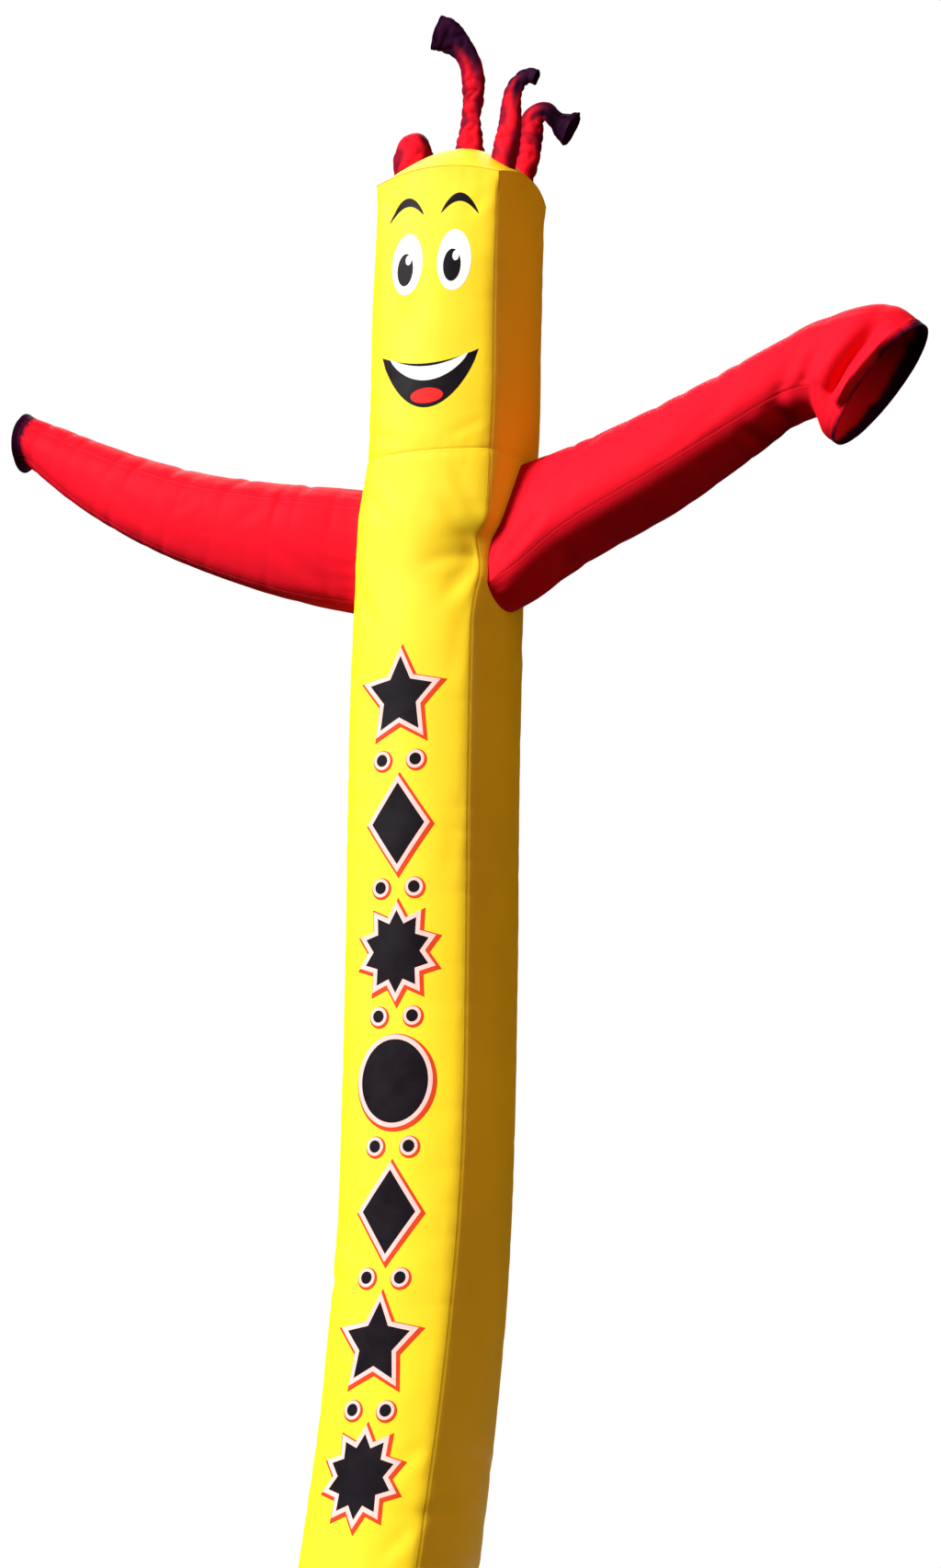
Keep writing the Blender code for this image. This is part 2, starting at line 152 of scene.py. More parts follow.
# Hair tubes: the middle of each section with its half sizes, from inside the head to the open end.
Lock = namedtuple("Lock", "x y z half_wide half_thick")
HAIR = {
    "hair_left": (
        Lock(0.070, 0.010, 5.440, 0.060, 0.046),
        Lock(0.064, 0.006, 5.515, 0.067, 0.050),
        Lock(0.060, 0.004, 5.572, 0.065, 0.046),
        Lock(0.058, 0.022, 5.624, 0.049, 0.034),
        Lock(0.058, 0.064, 5.638, 0.039, 0.027),
        Lock(0.060, 0.108, 5.608, 0.038, 0.024),
        Lock(0.056, 0.142, 5.560, 0.044, 0.028),
    ),
    "hair_middle": (
        Lock(0.276, 0.000, 5.470, 0.056, 0.040),
        Lock(0.277, 0.000, 5.560, 0.054, 0.038),
        Lock(0.281, 0.000, 5.625, 0.044, 0.028),
        Lock(0.284, -0.004, 5.677, 0.036, 0.018),
        Lock(0.293, -0.008, 5.735, 0.040, 0.024),
        Lock(0.296, -0.012, 5.800, 0.043, 0.028),
        Lock(0.288, -0.016, 5.862, 0.040, 0.025),
        Lock(0.265, -0.022, 5.912, 0.041, 0.022),
        Lock(0.231, -0.030, 5.951, 0.054, 0.026),
        Lock(0.202, -0.036, 5.974, 0.062, 0.032),
        Lock(0.172, -0.040, 5.985, 0.062, 0.034),
    ),
    "hair_right_front": (
        Lock(0.425, -0.090, 5.370, 0.038, 0.038),
        Lock(0.436, -0.090, 5.470, 0.044, 0.040),
        Lock(0.449, -0.088, 5.540, 0.047, 0.036),
        Lock(0.459, -0.085, 5.610, 0.042, 0.028),
        Lock(0.462, -0.082, 5.675, 0.037, 0.022),
        Lock(0.470, -0.080, 5.724, 0.034, 0.020),
        Lock(0.494, -0.080, 5.758, 0.030, 0.018),
        Lock(0.526, -0.082, 5.771, 0.027, 0.018),
        Lock(0.555, -0.084, 5.760, 0.028, 0.020),
    ),
    "hair_right_back": (
        Lock(0.430, 0.075, 5.360, 0.030, 0.034),
        Lock(0.443, 0.072, 5.450, 0.035, 0.036),
        Lock(0.466, 0.066, 5.535, 0.045, 0.034),
        Lock(0.474, 0.060, 5.606, 0.049, 0.030),
        Lock(0.490, 0.055, 5.668, 0.042, 0.024),
        Lock(0.534, 0.052, 5.686, 0.034, 0.018),
        Lock(0.572, 0.050, 5.652, 0.031, 0.020),
        Lock(0.602, 0.050, 5.626, 0.050, 0.028),
        Lock(0.630, 0.050, 5.610, 0.064, 0.036),
    ),
}
FOLDED_BACK = ("hair_left",)  # bends about the X axis; the others bend about the Y axis
HAIR_HOLE_ROWS = 2  # a tube's seam with the top panel lies before this row of its table

# ----------------------------------
# What the air and the sewing do to the cloth.

# Soft folds placed one by one on each panel: the ends of each, as metres across from the panel's middle and
# metres along it (height on body and head, distance from the shoulder on a sleeve). A depth below zero is a
# ridge.
Fold = namedtuple("Fold", "across_a along_a across_b along_b half_width depth")
RIGHT_END = 1.396  # from the shoulder to the right sleeve's mouth
FOLDS = {
    # Pull lines that run down and in from the right sleeve's lower root, and the hollow under them.
    "body_front": (
        Fold(0.200, 4.150, 0.085, 4.285, 0.026, 0.0060),
        Fold(0.205, 4.135, 0.120, 3.955, 0.030, 0.0065),
        Fold(0.195, 4.120, 0.040, 4.085, 0.022, 0.0040),
        Fold(0.200, 4.230, 0.110, 4.400, 0.022, 0.0035),
        Fold(0.190, 3.960, 0.165, 3.700, 0.030, 0.0040),
        # The same on the left sleeve's side, weaker.
        Fold(-0.205, 4.330, -0.100, 4.230, 0.020, 0.0030),
        Fold(-0.205, 4.020, -0.110, 3.880, 0.024, 0.0030),
        # The front panel below: long shallow drapes where the tube leans over.
        Fold(0.190, 1.240, 0.060, 1.090, 0.028, 0.0028),
        Fold(0.195, 0.980, 0.090, 0.860, 0.026, 0.0030),
        Fold(-0.200, 1.950, -0.120, 1.800, 0.026, 0.0024),
        Fold(0.200, 3.330, 0.150, 3.050, 0.026, 0.0020),
    ),
    # Right side: cross folds on the inside of the lower bend, and drapes under the sleeve.
    "body_right": (
        Fold(-0.200, 1.020, 0.120, 0.960, 0.026, 0.0060),
        Fold(-0.180, 0.850, 0.190, 0.800, 0.024, 0.0060),
        Fold(-0.190, 0.690, 0.100, 0.640, 0.028, 0.0050),
        Fold(-0.100, 1.190, 0.200, 1.130, 0.026, 0.0042),
        Fold(-0.190, 3.900, -0.020, 3.740, 0.030, 0.0050),
        Fold(0.190, 3.880, 0.040, 3.760, 0.028, 0.0050),
        Fold(-0.195, 4.320, -0.110, 4.420, 0.022, 0.0040),
        Fold(-0.150, 2.620, 0.060, 2.420, 0.034, 0.0026),
    ),
    # Left side: cross folds on the inside of the upper bend.
    "body_left": (
        Fold(-0.200, 1.980, 0.130, 1.930, 0.026, 0.0052),
        Fold(-0.120, 1.780, 0.200, 1.730, 0.026, 0.0055),
        Fold(-0.190, 1.600, 0.120, 1.560, 0.024, 0.0044),
        Fold(-0.160, 3.830, 0.020, 3.740, 0.028, 0.0045),
        Fold(0.190, 3.820, 0.060, 3.700, 0.026, 0.0040),
        Fold(0.160, 2.900, -0.060, 2.700, 0.034, 0.0026),
    ),
    # Back: the mirror of the front's pull lines, and two drapes.
    "body_back": (
        Fold(-0.195, 4.140, -0.080, 4.280, 0.026, 0.0055),
        Fold(-0.200, 4.060, -0.090, 3.930, 0.026, 0.0050),
        Fold(0.200, 4.310, 0.090, 4.220, 0.022, 0.0034),
        Fold(-0.195, 0.900, -0.040, 0.820, 0.028, 0.0036),
        Fold(0.195, 1.860, 0.050, 1.760, 0.028, 0.0034),
        Fold(-0.150, 3.050, 0.010, 2.850, 0.036, 0.0026),
    ),
    # Head: slack at the neck and under the top corners.
    "head_front": (
        Fold(-0.200, 4.530, -0.060, 4.495, 0.018, 0.0022),
        Fold(0.200, 4.560, 0.080, 4.505, 0.018, 0.0026),
        Fold(0.195, 5.330, 0.120, 5.240, 0.022, 0.0030),
        Fold(-0.195, 5.340, -0.130, 5.260, 0.022, 0.0028),
    ),
    "head_right": (
        Fold(-0.190, 5.330, -0.060, 5.240, 0.024, 0.0036),
        Fold(0.190, 5.320, 0.080, 5.220, 0.024, 0.0034),
        Fold(-0.180, 4.600, 0.060, 4.520, 0.022, 0.0034),
    ),
    "head_left": (
        Fold(0.190, 5.330, 0.080, 5.240, 0.024, 0.0034),
        Fold(-0.150, 4.580, 0.100, 4.510, 0.022, 0.0030),
    ),
    "head_back": (
        Fold(0.190, 5.330, 0.090, 5.230, 0.024, 0.0034),
        Fold(-0.190, 4.570, 0.020, 4.510, 0.022, 0.0030),
    ),
    # Right sleeve: the fold where its end drops, drag lines along it and slack at the shoulder.
    "sleeve_right_front": (
        Fold(-0.150, 1.130, 0.060, 1.235, 0.030, 0.0120),
        Fold(-0.160, 1.020, 0.020, 1.130, 0.026, 0.0070),
        Fold(-0.050, 0.300, 0.060, 0.620, 0.026, 0.0036),
        Fold(0.060, 0.120, 0.130, 0.420, 0.022, 0.0036),
        Fold(-0.110, 0.620, -0.030, 0.900, 0.022, 0.0034),
        Fold(-0.170, 0.030, -0.060, 0.230, 0.024, 0.0050),
        Fold(-0.190, RIGHT_END - 0.110, 0.145, RIGHT_END - 0.070, 0.028, 0.0640),
        Fold(-0.160, RIGHT_END - 0.040, 0.140, RIGHT_END - 0.016, 0.014, -0.0090),
    ),
    "sleeve_right_underside": (
        Fold(-0.100, 1.050, 0.100, 1.000, 0.028, 0.0100),
        Fold(-0.090, 0.920, 0.080, 0.880, 0.022, 0.0060),
        Fold(-0.100, 0.160, 0.060, 0.240, 0.024, 0.0050),
    ),
    "sleeve_right_top": (
        Fold(-0.090, 0.350, 0.060, 0.480, 0.022, 0.0045),
        Fold(-0.080, 0.800, 0.080, 0.900, 0.024, 0.0045),
    ),
    "sleeve_right_back": (
        Fold(0.150, 1.150, -0.030, 1.060, 0.028, 0.0080),
        Fold(0.140, 0.080, 0.000, 0.300, 0.026, 0.0060),
        Fold(-0.060, 0.500, 0.060, 0.760, 0.026, 0.0044),
    ),
    # Left sleeve: drag lines and slack, with cross folds on the upper side of its bend.
    "sleeve_left_front": (
        Fold(-0.120, 0.100, 0.020, 0.350, 0.026, 0.0040),
        Fold(0.130, 0.360, 0.040, 0.470, 0.020, 0.0036),
        Fold(0.110, 0.640, 0.020, 0.720, 0.020, 0.0036),
        Fold(-0.060, 0.760, 0.030, 1.020, 0.022, 0.0030),
    ),
    "sleeve_left_top": (
        Fold(-0.120, 0.240, 0.120, 0.280, 0.022, 0.0056),
        Fold(-0.100, 0.520, 0.120, 0.550, 0.020, 0.0056),
        Fold(-0.110, 0.800, 0.080, 0.830, 0.020, 0.0050),
    ),
    "sleeve_left_back": (
        Fold(0.120, 0.060, -0.020, 0.320, 0.026, 0.0050),
        Fold(-0.050, 0.600, 0.060, 0.850, 0.024, 0.0040),
    ),
    "sleeve_left_underside": (
        Fold(-0.120, 0.120, 0.060, 0.260, 0.026, 0.0044),
        Fold(-0.080, 0.700, 0.060, 0.820, 0.022, 0.0034),
    ),
}

# Notches in the corner seams of each tube, shared by the two panels that meet there.
Notch = namedtuple("Notch", "corner along half_length depth")
NOTCHES = {
    "figure": (
        Notch(0, 1.000, 0.030, 0.0050),
        Notch(0, 0.830, 0.030, 0.0050),
        Notch(0, 0.670, 0.034, 0.0040),
        Notch(1, 0.950, 0.030, 0.0050),
        Notch(1, 0.790, 0.032, 0.0060),
        Notch(2, 1.960, 0.030, 0.0050),
        Notch(2, 1.570, 0.030, 0.0044),
        Notch(3, 1.930, 0.030, 0.0046),
        Notch(3, 1.740, 0.030, 0.0050),
        Notch(3, 4.320, 0.026, 0.0050),
        Notch(0, 4.460, 0.016, 0.0040),
        Notch(1, 4.460, 0.016, 0.0050),
        Notch(2, 4.460, 0.016, 0.0050),
        Notch(3, 4.460, 0.016, 0.0040),
    ),
    "right": (
        Notch(3, 1.045, 0.030, 0.0100),
        Notch(3, RIGHT_END - 0.095, 0.040, 0.0160),
        Notch(2, 1.000, 0.030, 0.0080),
    ),
    "left": (
        Notch(0, 0.300, 0.024, 0.0060),
        Notch(0, 0.560, 0.022, 0.0060),
    ),
}

# Beside the crease under the right sleeve, the corner's cloth turns this way, about this height, over this
# far up and down and into each of its two panels, while the corner itself stays sharp.
TURN = (0.032, 0.036, 0.0)
TURN_HEIGHT = 4.10
TURN_HALF_LENGTH = 0.11
TURN_REACH = {"front": 0.12, "right": 0.055}
TURN_CORNER = 0
SHARP_HALF_LENGTH = 0.16

# Each tube's seams: the distance between the thread's tight places, how deep they pull each corner seam in,
# the groove at the seam, how far and from what distance the corner rounds off, and the panels' broad
# unevenness.
Seams = namedtuple("Seams", "pitch corner_depths groove round_depth round_reach swell")
SEAMS = {
    "figure": Seams(0.110, (0.0020, 0.0018, 0.0020, 0.0024), 0.0012, 0.0075, 0.045, 0.0010),
    "right": Seams(0.118, (0.0085, 0.0044, 0.0050, 0.0024), 0.0003, 0.0110, 0.055, 0.0008),
    "left": Seams(0.105, (0.0080, 0.0040, 0.0046, 0.0030), 0.0006, 0.0080, 0.045, 0.0008),
}
PULL_REACH = 0.045  # how far a tight place in a seam draws the cloth beside it
GROOVE_REACH = 0.004  # how far from its thread a seam's groove ends
DRAG_SHARE = 0.7  # how deep the dimple before a tight place is, against the seam's own depth
DRAG_START = 0.035
DRAG_REACH = 0.075
SWELL_START = 0.09  # how far from a seam a panel's unevenness is full
CALM_EDGE = 0.022  # within this of a side seam the panel's own folds die away, to meet its neighbour

# Over these distances a panel's folds come up again from a place where it meets other pieces.
CALM_NECK = (0.0, 0.05)
CALM_TOP = (0.005, 0.06)
CALM_HOLE = (0.012, 0.05)
CALM_SHOULDER = (0.004, 0.05)

# Where the side seams can't give: at the head's upper corners, at a shoulder and, by this share, at a mouth.
FIRM_TOP = (0.01, 0.07)
FIRM_SHOULDER = 0.06
FIRM_MOUTH = 0.05
MOUTH_STIFFNESS = 0.6

# Gathers along a seam: the distance between them (a share of the way round, at the two kinds of hole), their
# depth, the roll of cloth that they stand in, how far they run from the seam, where they start, and their
# seed.
Gather = namedtuple("Gather", "pitch depth roll reach start full seed")
GATHERS = {
    "neck": Gather(0.052, 0.0030, 0.0, 0.035, 0.002, 0.014, 401),
    "head_end": Gather(0.060, 0.0030, 0.0, 0.040, 0.0, 0.020, 431),
    "sleeve_hole": Gather(1 / 26, 0.0055, 0.0030, 0.050, 0.002, 0.020, 77),
    "shoulder": Gather(0.046, 0.0060, 0.0, 0.055, 0.0, 0.020, 501),
    "mouth": Gather(0.040, 0.0030, 0.0, 0.030, 0.0, 0.008, 541),
    "top_front_back": Gather(0.060, 0.0034, 0.0, 0.035, 0.004, 0.020, 621),
    "top_left_right": Gather(0.060, 0.0034, 0.0, 0.035, 0.004, 0.020, 631),
    "hair_hole": Gather(1 / 14, 0.0050, 0.0024, 0.030, 0.004, 0.020, 641),
}
NECK_GROOVE = 0.0024
NECK_GROOVE_REACH = 0.006
HEM_EDGE = 0.001  # half the width of the step at a hem's stitched edge
BASE_HEM_LIFT = 0.0008
MOUTH_HEM_LIFT = 0.0010


# ----------------------------------
# Numbers along a table or a line

ANY_PHASE = 6.3  # a little more than a full turn, in radians


def curve(table, at, keys=None):
    """A row of the table's own kind at these places along it, on a smooth curve through its rows."""
    values = np.array(table, float)
    keys = np.arange(len(values), dtype=float) if keys is None else np.array(keys, float)
    slopes = np.gradient(values, keys, axis=0)
    at = np.asarray(at, float)
    i = np.clip(np.searchsorted(keys, at) - 1, 0, len(keys) - 2)
    span = (keys[i + 1] - keys[i])[..., None]
    t = (at - keys[i])[..., None] / span
    found = (
        (1 + 2 * t) * (1 - t) ** 2 * values[i]
        + t * (1 - t) ** 2 * span * slopes[i]
        + t**2 * (3 - 2 * t) * values[i + 1]
        + t**2 * (t - 1) * span * slopes[i + 1]
    )
    return type(table[0])(*np.moveaxis(found, -1, 0))


def ease(low, high, at):
    """0 below low, 1 above high, and a smooth step between."""
    t = np.clip((at - low) / (high - low), 0.0, 1.0)
    return t * t * (3 - 2 * t)


def bell(offset):
    """1 at no offset, falling off to 0 on both sides."""
    return np.exp(-(offset**2))


def unit(vectors):
    """The vectors at a length of 1."""
    return vectors / np.maximum(np.linalg.norm(vectors, axis=-1, keepdims=True), 1e-12)


def dot(a, b):
    """The vectors' dot products, as one column."""
    return np.sum(a * b, axis=-1, keepdims=True)


def run_lengths(points):
    """The distance along a line of points from its first one to each."""
    steps = np.linalg.norm(np.diff(points, axis=0), axis=-1)
    return np.concatenate(((0.0,), np.cumsum(steps)))


def angles_round(count):
    """Angles all the way round, evenly apart."""
    return np.linspace(0, 2 * math.pi, count, endpoint=False)


def wander(at, seed, shortest=0.22, longest=1.1):
    """Smooth uneven numbers, mostly between -1 and 1, that are the same each run."""
    random = np.random.default_rng(seed)
    usual_peak = 2.3
    total = np.zeros_like(np.asarray(at, float))
    for wave in np.geomspace(shortest, longest, 5):
        height = random.uniform(0.5, 1.0)
        total = total + height * np.sin(2 * math.pi * at / wave + random.uniform(0, ANY_PHASE))
    return total / usual_peak


def tight_places(at, pitch, seed):
    """1 where the thread is pulled tight, falling off to 0 between, at an uneven pitch and strength."""
    usual, spread, weakest = 0.58, 0.5, 0.12
    drift = 0.9 * wander(at, seed)
    strength = np.clip(usual + spread * wander(at, seed + 1), weakest, 1.0)
    return strength * (1 - np.abs(np.sin(math.pi * at / pitch + drift))) ** 1.5


def gathers(kind, at, distance, corner=0, clear=None):
    """How far a seam's gathers lift the cloth. clear is the distance to whichever seam is nearest."""
    gather = GATHERS[kind]
    tight = tight_places(at, gather.pitch, gather.seed + corner)
    fade = ease(gather.start, gather.full, distance if clear is None else clear)
    fade = fade * np.exp(-np.maximum(distance, 0) / gather.reach)
    return (gather.roll - gather.depth * tight) * fade


def turned_hem(distance, lift, depth=HEM):
    """How far a hem stands up at this distance from its edge."""
    return lift * (1 - ease(depth - HEM_EDGE, depth + HEM_EDGE, distance))


def gentle_swell(across, along, seed):
    """Broad uneven waves over a panel, mostly between -1 and 1."""
    random = np.random.default_rng(seed)
    usual_peak = 1.6
    total = np.zeros_like(across + along)
    shortest, longest = 0.13, 0.55
    for wave in np.geomspace(shortest, longest, 7):
        turn = random.uniform(0, ANY_PHASE)
        line = across * math.cos(turn) + along * math.sin(turn)
        phase = random.uniform(0, ANY_PHASE)
        total = total + wave / longest * np.sin(2 * math.pi * line / wave + phase)
    return total / usual_peak


def fold_relief(panel, across, along):
    """The folds placed on this panel, each a soft trough with a low ridge on one side."""
    ridge_share, ridge_place = 0.5, 1.9
    fade_in, fade_out = (-0.15, 0.25), (0.7, 1.2)
    total = np.zeros_like(across + along)
    for fold in FOLDS.get(panel, ()):
        run = np.array((fold.across_b - fold.across_a, fold.along_b - fold.along_a))
        length = np.linalg.norm(run)
        run = run / length
        offset_across = across - fold.across_a
        offset_along = along - fold.along_a
        down = (offset_across * run[0] + offset_along * run[1]) / length
        aside = (offset_along * run[0] - offset_across * run[1]) / fold.half_width
        fade = ease(*fade_in, down) * (1 - ease(*fade_out, down))
        total = total + fold.depth * fade * (ridge_share * bell(aside - ridge_place) - bell(aside))
    return total


def square_outline(face, u, half, belly, inset, gap):
    """Points of a bellied square on its own two axes: u runs from -1 to 1 along the named face."""
    normal = np.array(FACES[face], float)
    along = np.array((-normal[1], normal[0]))
    out = np.abs(half @ normal) - inset + np.abs(belly @ normal) * (1 - u * u)
    reach = u * (np.abs(half @ along) - inset - gap)
    return out[..., None] * normal + reach[..., None] * along


def crossing(off, places, last_row):
    """At each place, the row between 0 and the last where off(row) passes the seam's gap."""
    low = np.zeros_like(places)
    high = low + last_row
    for _ in range(40):
        middle = (low + high) / 2
        outside = off(middle) > SEAM_GAP
        high = np.where(outside, middle, high)
        low = np.where(outside, low, middle)
    return high


# ----------------------------------
# The smooth forms. Each takes arrays of places and gives an array of points.


def crease_shift(height, face, u):
    """How far the crease under the right sleeve moves these points towards -X."""
    reach = {"front": (1 + u) / 2, "right": (1 - u) / 2}.get(face, 0.0 * u)
    spread = np.where(height > CREASE_HEIGHT, CREASE_ABOVE, CREASE_BELOW)
    depth = CREASE_DEPTH * np.clip(reach, 0, None) ** CREASE_SHARPNESS
    return depth * bell((height - CREASE_HEIGHT) / spread)


def figure_level(height):
    """The section of body and head at these heights."""
    return curve(FIGURE, height, [row.height for row in FIGURE])


def figure_point(face, height, u, inset=0.0, gap=SEAM_GAP):
    """Points of the body and head, this far inside their outer skin."""
    height, u = np.broadcast_arrays(np.asarray(height, float), np.asarray(u, float))
    level = figure_level(height)
    puff = ease(PUFF_START, TOP_SEAM, height)
    belly = (BELLY + (TOP_BELLY - BELLY) * puff)[..., None] * np.ones(2)
    half = np.stack((level.half_wide, level.half_deep), axis=-1)
    flat = square_outline(face, u, half, belly, inset, gap)
    turn = np.radians(level.twist_deg)
    x = level.centre_x + flat[..., 0] * np.cos(turn) - flat[..., 1] * np.sin(turn)
    y = flat[..., 0] * np.sin(turn) + flat[..., 1] * np.cos(turn)
    z = height + TOP_ARCH * puff * (1 - u * u)
    return np.stack((x - crease_shift(height, face, u), y, z), axis=-1)


def figure_middle(height):
    """Points of the line of the section centres."""
    centre_x = figure_level(height).centre_x
    return np.stack((centre_x, 0 * centre_x, np.asarray(height, float)), axis=-1)


def height_off_body(points, face):
    """How far points lie outside the smooth body, measured square to the named side face."""
    level = figure_level(points[..., 2])
    turn = np.radians(level.twist_deg)
    side = FACES[face][0]
    x = points[..., 0] - level.centre_x
    y = points[..., 1]
    for _ in range(3):
        local_y = -x * np.sin(turn) + y * np.cos(turn)
        u = np.clip(side * local_y / level.half_deep, -1, 1)
        x = points[..., 0] - level.centre_x + crease_shift(points[..., 2], face, u)
    local_x = x * np.cos(turn) + y * np.sin(turn)
    return side * local_x - level.half_wide - BELLY * (1 - u * u)


def top_point(u, v, lift=SEAM_GAP):
    """Points of the top panel's underside, over the head's section: u and v run from -1 to 1."""
    u, v = np.broadcast_arrays(np.asarray(u, float), np.asarray(v, float))
    top = FIGURE[-1]
    rise = TOP_ARCH * ((1 - u * u) + (1 - v * v)) + TOP_DOME * (1 - u * u) * (1 - v * v)
    x = top.centre_x + u * (top.half_wide + TOP_BELLY * (1 - v * v))
    y = v * (top.half_deep + TOP_BELLY * (1 - u * u))
    return np.stack((x, y, TOP_SEAM + rise + lift), axis=-1)


def top_normal(u, v):
    """The upward normals of the top panel."""
    step = 0.001
    along_u = top_point(u + step, v) - top_point(u - step, v)
    along_v = top_point(u, v + step) - top_point(u, v - step)
    return unit(np.cross(along_u, along_v))


def top_place(points):
    """The top panel's u and v under these points."""
    top = FIGURE[-1]
    u = np.zeros_like(points[..., 0])
    v = np.zeros_like(u)
    for _ in range(8):
        u = (points[..., 0] - top.centre_x) / (top.half_wide + TOP_BELLY * (1 - v * v))
        v = points[..., 1] / (top.half_deep + TOP_BELLY * (1 - u * u))
    return u, v


def height_off_top(points):
    """How far points lie above the top panel's upper skin, square to it."""
    u, v = top_place(points)
    normal = top_normal(u, v)
    return (points[..., 2] - top_point(u, v)[..., 2]) * normal[..., 2] - CLOTH


# A sleeve's section: its middle, the axes of its height and depth, and its half sizes and bellies on them.
Section = namedtuple("Section", "middle across deep halves bellies")


def sleeve_section(table, row):
    """The sleeve's sections at these rows of its table, as high as its side view asks for at this roll."""
    cuff = curve(table, row)
    zero = np.zeros_like(cuff.top_x)
    top = np.stack((cuff.top_x, zero, cuff.top_z), axis=-1)
    low = np.stack((cuff.low_x, zero, cuff.low_z), axis=-1)
    up = unit(top - low)
    turn = np.radians(cuff.turn_deg)
    back = np.stack((np.sin(turn), np.cos(turn), zero), axis=-1)
    back = unit(back - up * dot(back, up))
    roll = np.radians(cuff.roll_deg)[..., None]
    across = up * np.cos(roll) + back * np.sin(roll)
    deep = back * np.cos(roll) - up * np.sin(roll)
    belly = cuff.belly[..., None]
    rise_of_corner = np.cos(roll) + np.abs(np.sin(roll))
    rise_of_belly = (1 + belly) * np.cos(roll)
    height = np.linalg.norm(top - low, axis=-1, keepdims=True)
    half = height / 2 / np.maximum(rise_of_corner, rise_of_belly)
    halves = half * np.stack((np.ones_like(cuff.deep), cuff.deep), axis=-1)
    return Section((top + low) / 2, across, deep, halves, halves * belly)


def sleeve_point(table, face, row, u, inset=0.0, gap=SEAM_GAP):
    """Points of a sleeve, this far inside its outer skin."""
    row, u = np.broadcast_arrays(np.asarray(row, float), np.asarray(u, float))
    section = sleeve_section(table, row)
    flat = square_outline(face, u, section.halves, section.bellies, inset, gap)
    return section.middle + section.across * flat[..., :1] + section.deep * flat[..., 1:]


def lock_middle(table, row):
    """Points of the line through the middles of a hair tube's sections."""
    lock = curve(table, row)
    return np.stack((lock.x, lock.y, lock.z), axis=-1)


def hair_point(name, row, angle, inset=0.0):
    """Points of a hair tube's oval section, on its own wide and thick axes."""
    table = HAIR[name]
    row, angle = np.broadcast_arrays(np.asarray(row, float), np.asarray(angle, float))
    lock = curve(table, row)
    step = 0.01
    ahead = lock_middle(table, np.minimum(row + step, len(table) - 1))
    behind = lock_middle(table, np.maximum(row - step, 0))
    along = unit(ahead - behind)
    if name in FOLDED_BACK:
        side = np.broadcast_to((1.0, 0.0, 0.0), along.shape)
        wide = unit(side - along * dot(side, along))
    else:
        wide = unit(np.cross((0.0, 1.0, 0.0), along))
    thick = np.cross(along, wide)
    reach_wide = (np.cos(angle) * (lock.half_wide - inset))[..., None]
    reach_thick = (np.sin(angle) * (lock.half_thick - inset))[..., None]
    return lock_middle(table, row) + wide * reach_wide + thick * reach_thick


# ----------------------------------
# The cloth: smooth form, seams and folds together.


